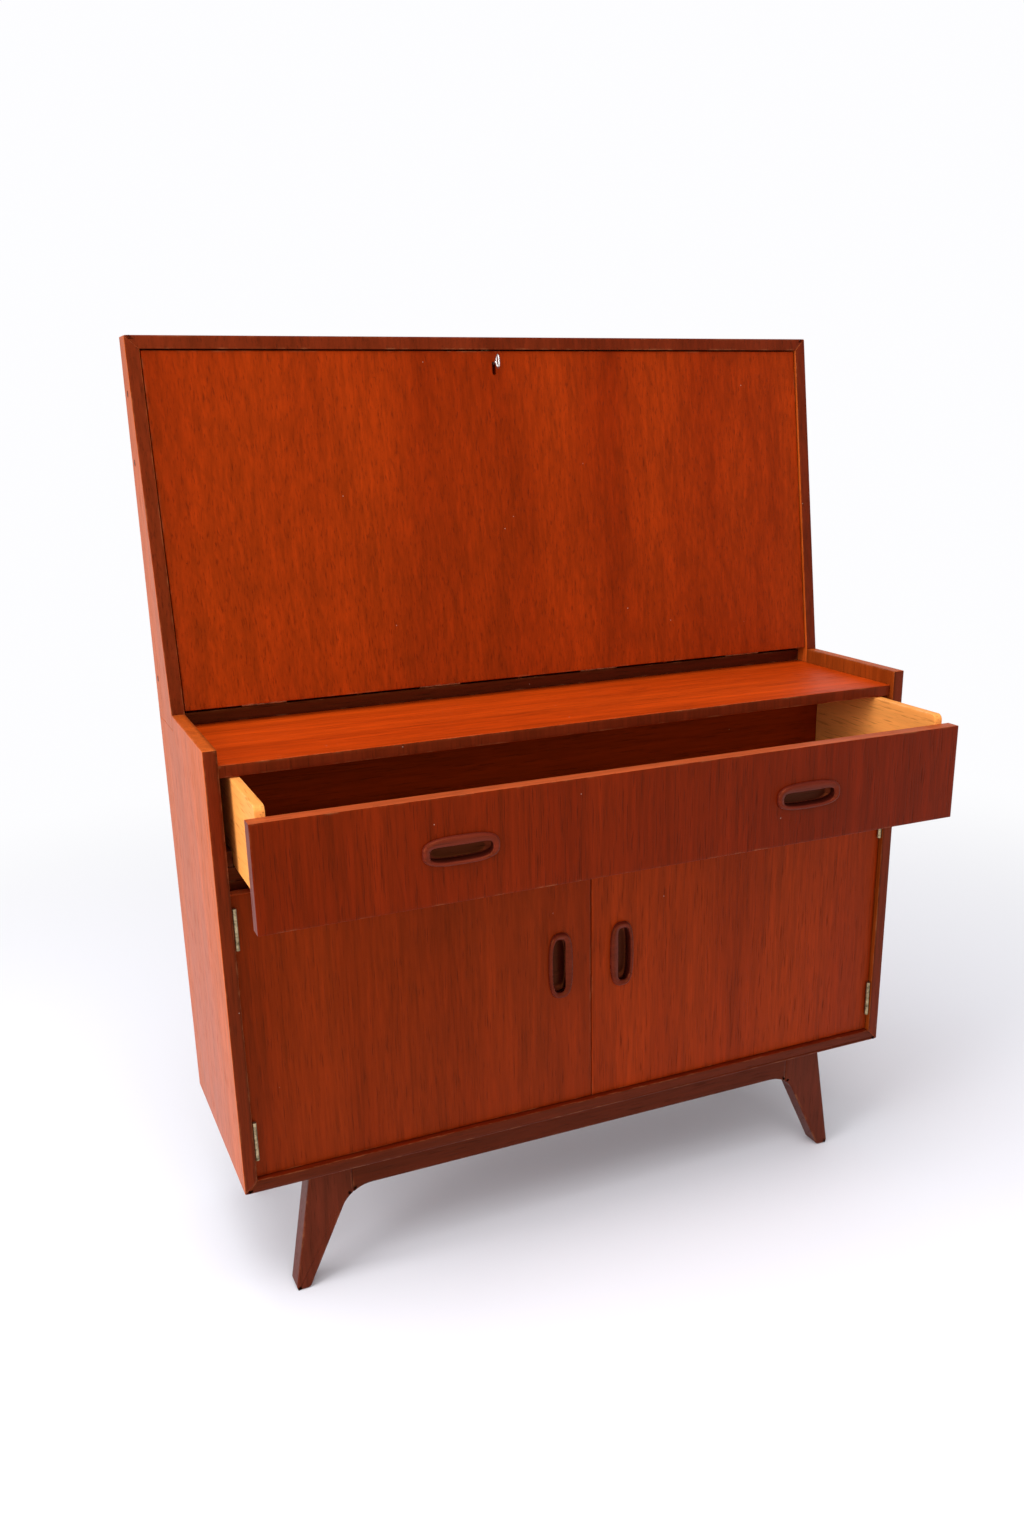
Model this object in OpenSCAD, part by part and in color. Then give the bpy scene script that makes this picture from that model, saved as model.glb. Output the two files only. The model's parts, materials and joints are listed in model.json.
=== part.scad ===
// Secretary desk: a low cabinet with one drawer and two doors on a splayed
// leg frame, and on top of it a slant-front upper unit whose leaf folds down
// onto the ledge to write on.
// The frame: floor at z = 0, x across from the middle, y from front to back.

/* [Cabinet] */
// Width over the two sides
case_w = 1000; // [760:10:1300]
// Depth from the sides' front edges to the back
case_d = 320; // [280:5:420]
// Height of the sides, from the cabinet's underside to the top of their ears
side_h = 587; // [500:1:720]
// Thickness of the sides and of the bottom board
board_t = 17; // [14:0.5:20]
// How far the ears stand up past the ledge
ear_rise = 20.5; // [20:0.5:30]
// Thickness of the ledge
ledge_t = 15; // [12:0.5:22]
// How far ledge, drawer and doors are set back behind the sides' front edges
front_set = 7; // [6:0.5:12]
// Thickness of both back panels
back_t = 5; // [3:0.5:8]
// Thickness of the board that the drawer runs on
divider_t = 17; // [12:0.5:20]
// Thickness of the shelf in the cupboard
shelf_t = 15; // [12:0.5:20]
// Height of the shelf's underside over the cabinet's underside
shelf_z = 214; // [120:1:260]

/* [Upper unit] */
// Height of the whole desk over the cabinet's underside
unit_h = 1047.5; // [900:0.5:1300]
// Set-back of the upper unit's front edge at its foot
foot_y = 210; // [180:1:225]
// Set-back of the upper unit's front edge at its top
head_y = 280; // [240:1:284]
// Thickness of the upper unit's top board
top_t = 16; // [14:0.5:20]
// Thickness of the fold-down leaf
flap_t = 16; // [14:0.5:18]
// How far the leaf's face lies behind the upper unit's front edges
flap_recess = 3; // [1:0.5:6]
// Height of the pigeonholes
pigeon_h = 140; // [90:5:180]
// Thickness of the pigeonhole boards
pigeon_t = 6; // [4:0.5:10]

/* [Leg frame] */
// Height of the legs, from the floor to the cabinet's underside
leg_h = 187; // [140:1:240]
// Thickness of the legs from front to back
leg_t = 30; // [24:1:40]
// How far the front legs are set in from the cabinet's front
leg_in = 29; // [10:1:60]
// How far the back legs are set in from the cabinet's back
leg_in_back = 2; // [0:1:60]
// Distance from the cabinet's side to the outer edge of a foot
foot_x = 58.5; // [20:0.5:80]
// Distance from the cabinet's side to a leg's outer edge at its top
hip_x = 92.5; // [82:0.5:110]
// Width of a foot
foot_w = 25; // [18:0.5:34]
// Distance from the cabinet's side to where a leg's inner edge meets the rail
knee_x = 145; // [140:0.5:165]
// Width of the leg block that the rail is jointed to
block_w = 56.5; // [50:0.5:60]
// Height of the rails
rail_h = 46.5; // [35:0.5:60]
// Thickness of the rails
rail_t = 22; // [16:1:28]
// Radius of the curve from leg to rail
knee_r = 48; // [30:1:55]
// Radius of a foot's corners
foot_r = 6; // [3:0.5:8]

/* [Drawer] */
// Height of the drawer front
front_h = 129; // [100:1:160]
// Thickness of the drawer front
front_t = 20; // [18:0.5:24]
// Open gap between the ledge and the top of the drawer front
front_gap = 14.5; // [4:0.5:20]
// How far the drawer front reaches below the drawer's sides
front_lip = 26.5; // [22:0.5:40]
// Thickness of the drawer's sides and back
drawer_t = 12; // [9:0.5:15]
// Space between a drawer side and the cabinet side, where the guide lies
guide_w = 13; // [9:0.5:18]
// Thickness of the drawer bottom
drawer_bottom_t = 5; // [3:0.5:6]
// How far the drawer stands open
drawer_out = 146; // [0:1:200]
// Free space behind the closed drawer
drawer_free = 15; // [8:1:40]

/* [Doors] */
// Thickness of the doors
door_t = 18; // [17:0.5:20]
// Gap around the doors
door_gap = 1.5; // [1.5:0.1:3]
// Height of the middle of the lower hinges over the doors' lower edge
hinge_low = 53.5; // [35:0.5:90]
// Distance of the middle of the upper hinges below the doors' top edge
hinge_high = 42.5; // [35:0.5:90]
// Length of a door hinge
hinge_l = 54; // [40:1:70]
// Height of the middle of the door pulls over the cabinet's underside
door_pull_z = 230; // [150:1:260]
// Distance of the door pulls from the middle of the cabinet
door_pull_x = 47; // [28:1:90]

/* [Pulls] */
// Length of a pull
pull_l = 96; // [80:1:120]
// Width of a pull
pull_w = 36; // [32:1:40]
// How far a pull stands out
pull_out = 5.5; // [4:0.5:8]
// How deep a pull is let in
pull_in = 13; // [11:0.5:14]
// Length of the finger opening
grip_l = 76; // [60:1:78]
// Width of the finger opening
grip_w = 19; // [16:0.5:20]

/* [Hardware] */
// Radius of the hinge knuckles
knuckle_r = 2.9; // [2.5:0.05:2.95]
// Radius of the hinge pins
pin_r = 1.25; // [1:0.05:1.5]
// Thickness of the hinge leaves
leaf_t = 1; // [0.8:0.1:1.5]
// Length of a leaf hinge
flap_hinge_l = 60; // [45:1:80]
// Place of the keyhole across the leaf, from its middle
lock_x = -12; // [-20:1:20]
// Distance of the key's axis below the leaf's top edge
key_drop = 16.5; // [16:0.5:24]
// Travel of the lock's bolt
bolt_travel = 12; // [10:0.5:13]
// Radius of the dowels
dowel_r = 4; // [3:0.5:4]

/* [Hidden] */
$fn = 48;

teak = [0.52, 0.20, 0.06];
teak_dark = [0.36, 0.13, 0.06];
beech = [0.85, 0.58, 0.33];
brass = [0.62, 0.48, 0.22];
steel = [0.66, 0.66, 0.67];

// Clearances
run = 1.5;          // drawer box to ledge above it
slide_gap = 1;      // drawer to divider and guides
fit = 0.15;         // panels in grooves, dowels and tenons
pin_fit = 0.05;     // hinge pins, key and bolt
skim = 0.3;         // pieces that pass or rest without touching
cut = 1;            // how far a cutting shape runs past what it cuts

// Levels and places in the cabinet, measured from its underside and front
half_w = case_w / 2;
inner_x = half_w - board_t;
ledge_top = side_h - ear_rise;
ledge_under = ledge_top - ledge_t;
back_y = case_d - back_t;
front_top = ledge_under - front_gap;
front_bottom = front_top - front_h;
box_top = ledge_under - run;
box_bottom = front_bottom + front_lip;
divider_top = box_bottom - slide_gap;
divider_under = divider_top - divider_t;
door_bottom = board_t + door_gap;
door_top = front_bottom - 2.5;
door_in_y = front_set + door_t;
stop_y = front_set + max(door_t, front_t) + 1;
stop_under = door_top - 10.5;
stop_depth = 18;
dowel_ys = [60, case_d - 60];
dowel_out = 12;     // length of a dowel in the side
dowel_in = 28;      // length of a dowel in the board
upper_dowel_half = 15;

// Origin: under the middle of everything, with the drawer standing open
front_y = front_set - drawer_out;
mid_y = (case_d + front_y - pull_out) / 2;

// The slanted front of the upper unit
slant = atan2(head_y - foot_y, unit_h - side_h);
rest_gap = 1;                 // open leaf to ledge
pin_off = 3;                  // hinge axis to the leaf's inner face
hinge_gap = 0.5;              // hinge axis to the edges that it joins
floor_t = flap_t + rest_gap;
flap_axis_z = ledge_top + floor_t + pin_off;
flap_axis_y = foot_y + (flap_axis_z - side_h) * tan(slant)
    + (flap_recess + flap_t + pin_off) / cos(slant);
top_under = unit_h - top_t;
flap_face = -(pin_off + flap_t);      // the leaf's outer face, from the hinge axis
flap_gap = 1.5;
flap_h = (top_under - flap_gap - flap_axis_z + flap_face * sin(slant)) / cos(slant);
flap_half = inner_x - flap_gap;
key_z = flap_h - key_drop;
floor_top = ledge_top + floor_t;
shelf_front_gap = 6;
letter_z = floor_top + pigeon_h;
flap_hinge_xs = [for (i = [-1.5 : 1.5]) i * case_w / 4];

// The y of the closed leaf's inner face at a height
function flap_inner_y(z) = flap_axis_y - pin_off / cos(slant) + (z - flap_axis_z) * tan(slant);
// The y of the upper unit's front plane at a height
function unit_front_y(z) = foot_y + (z - side_h) * tan(slant);
// Points of an arc: centre, radius, first and last angle, number of steps
function arc(c, r, a0, a1, n) =
    [for (i = [0 : n]) c + r * [cos(a0 + (a1 - a0) * i / n), sin(a0 + (a1 - a0) * i / n)]];

module in_case() translate([0, -mid_y, leg_h]) children();
module on_flap() in_case() translate([0, flap_axis_y, flap_axis_z]) rotate([-slant, 0, 0]) children();
module in_drawer() in_case() translate([0, -drawer_out, 0]) children();
// A box from its lowest to its highest corner
module block(a, b) translate(a) cube(b - a);
// An outline of [x, z] points drawn out along y
module prism_y(points, y0, y1) translate([0, y1, 0]) rotate([90, 0, 0])
    linear_extrude(y1 - y0) polygon(points);
// An outline of [y, z] points drawn out along x
module prism_x(points, x0, x1) translate([x0, 0, 0]) rotate([90, 0, 90])
    linear_extrude(x1 - x0) polygon(points);
module rod_x(r, x0, x1) translate([x0, 0, 0]) rotate([0, 90, 0]) cylinder(r = r, h = x1 - x0);
module rod_y(r, y0, y1) translate([0, y0, 0]) rotate([-90, 0, 0]) cylinder(r = r, h = y1 - y0);

// ---- Cabinet ----

module hinge_middles() for (z = [door_bottom + hinge_low, door_top - hinge_high])
    translate([0, 0, z]) children();
hinge_x = inner_x - 3.2;       // a door's hinge axis from the middle
hinge_y = front_set - 3;       // and from the front

module board_dowel_holes(z, grow)
    for (y = dowel_ys) translate([0, y, z])
        rod_x(dowel_r + grow, -inner_x - dowel_out - grow, -inner_x + dowel_in + grow);
module upper_dowel_holes(grow)
    for (y = [foot_y + 30, case_d - 25])
        translate([-half_w + board_t / 2, y, ledge_top - upper_dowel_half - grow])
        cylinder(r = dowel_r + grow, h = 2 * (upper_dowel_half + grow));

module case_side() difference() {
    prism_x([[0, 0], [case_d, 0], [case_d, ledge_top], [foot_y, ledge_top], [foot_y, side_h], [0, side_h]],
        -half_w, -inner_x);
    // mitre to the bottom board
    prism_y([[-half_w, 0], [-half_w - cut, -cut], [-inner_x + cut, -cut], [-inner_x + cut, board_t + cut]],
        -cut, case_d + cut);
    board_dowel_holes(ledge_under + ledge_t / 2, fit);
    board_dowel_holes(divider_under + divider_t / 2, fit);
    upper_dowel_holes(fit);
    // hinge leaves let in flush
    hinge_middles()
        block([-inner_x - leaf_t - fit, hinge_y - 0.5 - fit, -hinge_l / 2 - fit],
            [-inner_x + cut, door_in_y + fit, hinge_l / 2 + fit]);
    for (y = shelf_pin_ys) translate([0, y, shelf_z - shelf_pin_r])
        rod_x(shelf_pin_r + fit, -inner_x - 10, -inner_x + cut);
}
shelf_pin_r = 2.5;
shelf_pin_ys = [stop_y + 30, back_y - 40];

module side_left() color(teak) in_case() case_side();
module side_right() color(teak) in_case() mirror([1, 0, 0]) case_side();

module bottom_board() color(teak) in_case() difference() {
    prism_y([[-half_w, 0], [half_w, 0], [inner_x, board_t], [-inner_x, board_t]], 0, case_d);
    frame_screw_places() translate([0, 0, -cut]) cylinder(r = screw_r + fit, h = screw_bite + 2 * cut);
}

module ledge_board() color(teak) in_case() difference() {
    block([-inner_x, front_set, ledge_under], [inner_x, back_y, ledge_top]);
    for (s = [0, 1]) mirror([s, 0, 0]) board_dowel_holes(ledge_under + ledge_t / 2, fit);
}

module divider_board() color(beech) in_case() difference() {
    block([-inner_x, stop_y, divider_under], [inner_x, back_y, divider_top]);
    for (s = [0, 1]) mirror([s, 0, 0]) board_dowel_holes(divider_under + divider_t / 2, fit);
}

module stop_rail() color(teak_dark) in_case()
    block([-inner_x, stop_y, stop_under], [inner_x, stop_y + stop_depth, divider_under]);

module case_back() color(beech) in_case()
    block([-inner_x, back_y, board_t], [inner_x, case_d, ledge_top]);

module cupboard_shelf() color(teak) in_case()
    block([-inner_x + 1, stop_y + 15, shelf_z], [inner_x - 1, back_y - 2, shelf_z + shelf_t]);

module shelf_pins() color(brass) in_case()
    for (s = [0, 1], y = shelf_pin_ys) mirror([s, 0, 0]) translate([0, y, shelf_z - shelf_pin_r])
        rod_x(shelf_pin_r, -inner_x - 9.5, -inner_x + 9);

// Wooden strips that keep the drawer straight
module drawer_guide() block([-inner_x, front_set + front_t + 3, divider_top],
    [-inner_x + guide_w - slide_gap, back_y, divider_top + 20]);
module drawer_guide_left() color(beech) in_case() drawer_guide();
module drawer_guide_right() color(beech) in_case() mirror([1, 0, 0]) drawer_guide();

module case_dowels() color(beech) in_case() for (s = [0, 1]) mirror([s, 0, 0]) {
    board_dowel_holes(ledge_under + ledge_t / 2, 0);
    board_dowel_holes(divider_under + divider_t / 2, 0);
    upper_dowel_holes(0);
}

// ---- Leg frame ----

joint_x = hip_x + block_w;
lean = atan2(knee_x - foot_x - foot_w, leg_h - rail_h);        // inner edge from the vertical
knee_reach = knee_r * tan((90 - lean) / 2);                    // from the corner to where the curve ends
knee_c = [knee_x + knee_reach, -rail_h - knee_r];
joint_angle = acos((joint_x - knee_c[0]) / knee_r);            // where the curve crosses the joint
screw_r = 2;
screw_head_r = 4;
screw_sink = 15;
screw_bite = 12;
back_leg_y = case_d - leg_in_back - leg_t;

// One leg seen from the front: x from the cabinet's side, z from its underside
function leg_outline() = concat(
    [[hip_x, 0], [joint_x, 0]],
    arc(knee_c, knee_r, joint_angle, 180 - lean, 12),
    arc([foot_x + foot_w - foot_r * tan(45 + lean / 2) + foot_r * (1 / cos(lean) - 1), -leg_h + foot_r],
        foot_r, -lean, -90, 5),
    arc([foot_x + foot_r + 1.5, -leg_h + foot_r], foot_r, -90, -180 - hip_lean, 5));
hip_lean = -atan2(hip_x - foot_x, leg_h);

module leg(y0) translate([-half_w, 0, 0]) prism_y(leg_outline(), y0, y0 + leg_t);
module leg_front_left() color(teak_dark) in_case() leg(leg_in);
module leg_front_right() color(teak_dark) in_case() mirror([1, 0, 0]) leg(leg_in);
module leg_back_left() color(teak_dark) in_case() leg(back_leg_y);
module leg_back_right() color(teak_dark) in_case() mirror([1, 0, 0]) leg(back_leg_y);

// Places of the screws that hold the leg frame to the bottom board
rail_mids_y = [leg_in + leg_t / 2, back_leg_y + leg_t / 2];
module frame_screw_places() {
    for (x = [-0.28, 0, 0.28] * case_w, y = rail_mids_y) translate([x, y, 0]) children();
    for (s = [-1, 1])
        translate([s * (half_w - hip_x - rail_t / 2), (rail_mids_y[0] + rail_mids_y[1]) / 2, 0]) children();
}
module frame_screw(grow) {
    translate([0, 0, -rail_h + screw_sink - grow])
        cylinder(r = screw_r + grow, h = rail_h - screw_sink + screw_bite + grow);
    translate([0, 0, -rail_h + screw_sink - 3 - grow]) cylinder(r = screw_head_r + grow, h = 3 + grow);
}
module frame_screw_bore() {
    frame_screw(fit);
    translate([0, 0, -rail_h - cut]) cylinder(r = screw_head_r + fit, h = screw_sink + cut);
}

// The long rails carry on the legs' curve at both ends
module long_rail(y0, y1) difference() {
    left = [for (p = arc(knee_c, knee_r, joint_angle, 90, 8)) [p[0] - half_w, p[1]]];
    right = [for (i = [len(left) - 1 : -1 : 0]) [-left[i][0], left[i][1]]];
    prism_y(concat([[joint_x - half_w, 0]], left, right, [[half_w - joint_x, 0]]), y0, y1);
    frame_screw_places() frame_screw_bore();
}
// Both long rails are flush with the outer faces of their legs
module front_rail() color(teak_dark) in_case() long_rail(leg_in, rail_mids_y[0] + rail_t / 2);
module back_rail() color(teak_dark) in_case() long_rail(rail_mids_y[1] - rail_t / 2, back_leg_y + leg_t);

module side_rail() difference() {
    block([-half_w + hip_x, leg_in + leg_t, -rail_h], [-half_w + hip_x + rail_t, back_leg_y, 0]);
    frame_screw_places() frame_screw_bore();
}
module side_rail_left() color(teak_dark) in_case() side_rail();
module side_rail_right() color(teak_dark) in_case() mirror([1, 0, 0]) side_rail();

module frame_screws() color(steel) in_case() frame_screw_places() frame_screw(0);

// ---- Upper unit ----

plug_r = 4;
plug_places = [[case_d - 24, unit_h - 68], [case_d - 21, unit_h - 151], [case_d - 21, floor_top + 36]];
module plug_holes(grow)
    for (p = plug_places) translate([0, p[0], p[1]])
        rod_x(plug_r + grow, -half_w - 0.4 - 3 * grow, -half_w + 6 + grow);

mitre = [[-half_w, unit_h], [-inner_x, top_under]];
module upper_side() difference() {
    prism_x([[foot_y, ledge_top], [case_d, ledge_top], [case_d, unit_h],
        [head_y, unit_h], [foot_y, side_h]], -half_w, -inner_x);
    prism_y([mitre[0], mitre[1], [-inner_x + cut, top_under - cut * top_t / board_t],
        [-inner_x + cut, unit_h + cut], [-half_w, unit_h + cut]], 0, case_d + cut);
    upper_dowel_holes(fit);
    plug_holes(fit);
}
module upper_side_left() color(teak) in_case() upper_side();
module upper_side_right() color(teak) in_case() mirror([1, 0, 0]) upper_side();
module side_plugs() color(teak_dark) in_case() for (s = [0, 1]) mirror([s, 0, 0]) plug_holes(0);

// Where the lock's bolt comes through the underside of the top
bolt_z = (top_under - flap_axis_z) / cos(slant);
bolt_y = flap_axis_y + 4.3 * cos(slant) + bolt_z * sin(slant);
bolt_half = 6;
strike_t = 1;
strike_depth = bolt_travel - 3;
module strike_slot(z0, z1) block([lock_x - bolt_half - 1, bolt_y - 3.8, z0],
    [lock_x + bolt_half + 1, bolt_y + 3.8, z1]);
module strike_box(grow) block([lock_x - 20 - grow, bolt_y - 7 - grow, top_under - grow],
    [lock_x + 20 + grow, bolt_y + 7 + grow, top_under + strike_t + grow]);

module upper_top() color(teak) in_case() difference() {
    prism_x([[unit_front_y(top_under), top_under], [case_d, top_under], [case_d, unit_h], [head_y, unit_h]],
        -half_w, half_w);
    for (s = [0, 1]) mirror([s, 0, 0])
        prism_y([mitre[0], [-half_w - cut, unit_h], [-half_w - cut, top_under - cut],
            [-inner_x + cut * board_t / top_t, top_under - cut]], 0, case_d + cut);
    strike_box(fit);
    strike_slot(top_under - cut, top_under + strike_depth);
}
module strike_plate() color(brass) in_case() difference() {
    strike_box(0);
    strike_slot(top_under - cut, top_under + strike_t + cut);
}

module upper_floor() color(teak) in_case()
    block([-inner_x, flap_axis_y + hinge_gap, ledge_top], [inner_x, back_y, floor_top]);
module upper_back() color(beech) in_case()
    block([-inner_x, back_y, ledge_top], [inner_x, case_d, top_under]);

// Strips on the sides that the closed leaf comes to rest on
module flap_stops() color(teak_dark) on_flap() for (s = [0, 1]) mirror([s, 0, 0])
    block([-inner_x, -pin_off + skim, pigeon_h + 30], [-inner_x + 8, 6, flap_h - 30]);

module letter_shelf() color(teak) in_case()
    block([-inner_x, flap_inner_y(letter_z + pigeon_t) + shelf_front_gap, letter_z],
        [inner_x, back_y, letter_z + pigeon_t]);

module letter_divider(i) color(teak) in_case()
    prism_x([[flap_inner_y(floor_top) + shelf_front_gap + 2, floor_top], [back_y, floor_top],
        [back_y, letter_z], [flap_inner_y(letter_z) + shelf_front_gap + 2, letter_z]],
        i * inner_x / 2 - pigeon_t / 2, i * inner_x / 2 + pigeon_t / 2);
module letter_divider_1() letter_divider(-1);
module letter_divider_2() letter_divider(0);
module letter_divider_3() letter_divider(1);

// ---- Fold-down leaf and its hinges, drawn from the hinge axis ----
// The hinges lie on the floor board and on the leaf's inner face.

flap_leaf_w = 16;
third = flap_hinge_l / 3;
neck = knuckle_r + skim;
module flap_barrel(x0, x1) rod_x(knuckle_r, x0, x1);
module flap_pin_bore(x) translate([x, 0, 0])
    rod_x(pin_r + pin_fit, -flap_hinge_l / 2 - cut, flap_hinge_l / 2 + cut);

module flap_hinge_plates() color(brass) in_case() translate([0, flap_axis_y, flap_axis_z])
    for (x = flap_hinge_xs) difference() {
        translate([x, 0, 0]) {
            block([-flap_hinge_l / 2, neck, -pin_off], [flap_hinge_l / 2, flap_leaf_w, leaf_t - pin_off]);
            for (s = [0, 1]) mirror([s, 0, 0]) {
                flap_barrel(third / 2 + 0.1, flap_hinge_l / 2);
                block([third / 2 + 0.1, hinge_gap, -pin_off], [flap_hinge_l / 2, neck, leaf_t - pin_off]);
            }
        }
        flap_pin_bore(x);
    }
module flap_leaves() color(brass) on_flap() for (x = flap_hinge_xs) difference() {
    translate([x, 0, 0]) {
        block([-flap_hinge_l / 2, -pin_off, neck], [flap_hinge_l / 2, leaf_t - pin_off, flap_leaf_w]);
        flap_barrel(-third / 2 + 0.1, third / 2 - 0.1);
        block([-third / 2 + 0.1, -pin_off, hinge_gap], [third / 2 - 0.1, leaf_t - pin_off, neck]);
    }
    flap_pin_bore(x);
}
module flap_hinge_pins() color(steel) in_case() translate([0, flap_axis_y, flap_axis_z])
    for (x = flap_hinge_xs) translate([x, 0, 0]) rod_x(pin_r, -flap_hinge_l / 2, flap_hinge_l / 2);

key_r = 1.8;
hole_r = 2.6;       // half the keyhole's width
hole_drop = 12.4;   // from the key's axis down to the centre of the hole's lower round
module keyhole(r, y0, y1) translate([lock_x, 0, key_z]) {
    for (z = [-hole_drop, 0]) translate([0, 0, z]) rod_y(r, y0, y1);
    block([-r, y0, -hole_drop], [r, y1, 0]);
}
module flap_panel() color(teak) on_flap() difference() {
    block([-flap_half, flap_face, hinge_gap], [flap_half, -pin_off, flap_h]);
    keyhole(hole_r, flap_face - cut, -pin_off + cut);
}

// Surface lock on the leaf's inner face; the bolt runs behind the key's bit
lock_half = 22;
lock_depth = 7;
lock_low = key_z - hole_drop - 6;
lock_high = flap_h - 1.5;
bit_r = 6;
bolt_y0 = 2.4;
bolt_y1 = 6.2;
bolt_low = key_z - 8;
module lock_case() color(steel) on_flap() difference() {
    block([lock_x - lock_half, -pin_off, lock_low], [lock_x + lock_half, lock_depth, lock_high]);
    translate([lock_x, 0, key_z]) rod_y(bit_r + skim, -pin_off + 0.8, bolt_y0);
    translate([lock_x, 0, key_z]) rod_y(key_r + pin_fit, -pin_off - cut, 0);
    block([lock_x - bolt_half - pin_fit, bolt_y0 - pin_fit, bolt_low - skim],
        [lock_x + bolt_half + pin_fit, bolt_y1 + pin_fit, lock_high + cut]);
}
module lock_bolt() color(brass) on_flap()
    block([lock_x - bolt_half, bolt_y0, bolt_low], [lock_x + bolt_half, bolt_y1, lock_high]);

plate_t = 0.8;
plate_rim = 1.3;
module escutcheon() color(brass) on_flap() difference() {
    keyhole(hole_r + plate_rim, flap_face - plate_t, flap_face);
    keyhole(hole_r, flap_face - plate_t - cut, flap_face + cut);
}

bow_h = 19;         // the key's handle, an oval ring
bow_depth = 11;
bow_t = 2.4;
bow_out = 15;
bow_z = (bow_h - bow_depth) / 2;
module bow_shape(r, x) {
    for (z = [-bow_z, bow_z]) translate([0, 0, z]) rod_x(r, -x, x);
    block([-x, -r, -bow_z], [x, r, bow_z]);
}
module key() color(steel) on_flap() translate([lock_x, 0, key_z]) {
    rod_y(key_r, flap_face - bow_out + bow_depth / 2 - bow_t / 2, bolt_y0 - 0.6);
    block([-0.9, -pin_off + 1.2, -bit_r], [0.9, bolt_y0 - 0.6, 0]);
    translate([0, flap_face - bow_out, 0]) difference() {
        bow_shape(bow_depth / 2, bow_t / 2);
        bow_shape(bow_depth / 2 - bow_t, bow_t / 2 + cut);
    }
}

// ---- Pulls: drawn lying flat, length along x, lip on the +y side, outward along +z ----

module stadium(l, w, z0, z1) {
    for (s = [-1, 1]) translate([s * (l - w) / 2, 0, z0]) cylinder(d = w, h = z1 - z0);
    block([-(l - w) / 2, -w / 2, z0], [(l - w) / 2, w / 2, z1]);
}
rim = 4;            // how much wider the pull is than its mortise
rim_step = 2;       // height of the rim's narrower top
pull_floor = 2.5;
lip_shift = 2;      // opening moved away from the lip
module pull() difference() {
    union() {
        stadium(pull_l - 2 * rim, pull_w - 2 * rim, -pull_in, 0);
        stadium(pull_l, pull_w, 0, pull_out - rim_step);
        stadium(pull_l - 4, pull_w - 4, pull_out - rim_step, pull_out);
    }
    translate([0, -lip_shift, 0]) stadium(grip_l, grip_w, 0, pull_out + cut);
    stadium(pull_l - 2 * rim - 6, pull_w - 2 * rim - 5, -pull_in + pull_floor, 1);
}
module pull_mortise() stadium(pull_l - 2 * rim + 2 * fit, pull_w - 2 * rim + 2 * fit, -pull_in - fit, cut);

// ---- Drawer ----

box_half = inner_x - guide_w;
box_back = back_y - drawer_free;
groove = 5;
front_half = inner_x - door_gap;
bottom_z = box_bottom + 8;
drawer_pull_z = (front_top + front_bottom) / 2;
module on_front(x) translate([x, front_set, drawer_pull_z]) rotate([90, 0, 0]) children();
module bottom_groove() block(
    [-box_half + drawer_t - groove - fit, front_set + front_t - groove - fit, bottom_z - fit],
    [box_half - drawer_t + groove + fit, box_back + cut, bottom_z + drawer_bottom_t + fit]);

module drawer_front() color(teak) in_drawer() difference() {
    block([-front_half, front_set, front_bottom], [front_half, front_set + front_t, front_top]);
    bottom_groove();
    for (s = [-1, 1]) on_front(s * front_half / 2) pull_mortise();
}
module drawer_side() difference() {
    prism_x(concat([[box_back, box_top], [box_back, box_bottom], [front_set + front_t, box_bottom]],
        arc([front_set + front_t + 8, box_top - 8], 8, 180, 90, 6)), -box_half, -box_half + drawer_t);
    bottom_groove();
}
module drawer_side_left() color(beech) in_drawer() drawer_side();
module drawer_side_right() color(beech) in_drawer() mirror([1, 0, 0]) drawer_side();
module drawer_back() color(beech) in_drawer()
    block([-box_half + drawer_t, box_back - drawer_t, bottom_z + drawer_bottom_t + fit],
        [box_half - drawer_t, box_back, box_top - 8]);
module drawer_bottom() color(teak) in_drawer()
    block([-box_half + drawer_t - groove, front_set + front_t - groove, bottom_z],
        [box_half - drawer_t + groove, box_back, bottom_z + drawer_bottom_t]);
module drawer_pull_left() color(teak_dark) in_drawer() on_front(-front_half / 2) pull();
module drawer_pull_right() color(teak_dark) in_drawer() on_front(front_half / 2) pull();

// ---- Doors ----

door_edge_x = inner_x - 1;
leaf_back = door_in_y - fit;
knuckle_half = hinge_l / 6;
// The left door and its pieces; the right ones are their mirror image
module on_door() translate([-door_pull_x, front_set, door_pull_z]) rotate([90, 0, 0]) rotate([0, 0, -90])
    children();
module door() difference() {
    block([-door_edge_x, front_set, door_bottom], [-door_gap / 2, door_in_y, door_top]);
    on_door() pull_mortise();
    hinge_middles() block([-door_edge_x - cut, front_set - cut, -hinge_l / 2 - fit],
        [-door_edge_x + leaf_t + fit, door_in_y + fit, hinge_l / 2 + fit]);
}
module door_pin_bore() translate([-hinge_x, hinge_y, -hinge_l / 2 - cut])
    cylinder(r = pin_r + pin_fit, h = hinge_l + 2 * cut);
module door_leaf() hinge_middles() difference() {
    union() {
        block([-door_edge_x, front_set + skim, -hinge_l / 2],
            [-door_edge_x + leaf_t, leaf_back, hinge_l / 2]);
        block([-door_edge_x, hinge_y + 1, -knuckle_half + 0.1],
            [-door_edge_x + leaf_t, front_set + skim, knuckle_half - 0.1]);
        translate([-hinge_x, hinge_y, -knuckle_half + 0.1])
            cylinder(r = knuckle_r, h = 2 * knuckle_half - 0.2);
    }
    door_pin_bore();
}
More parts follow.
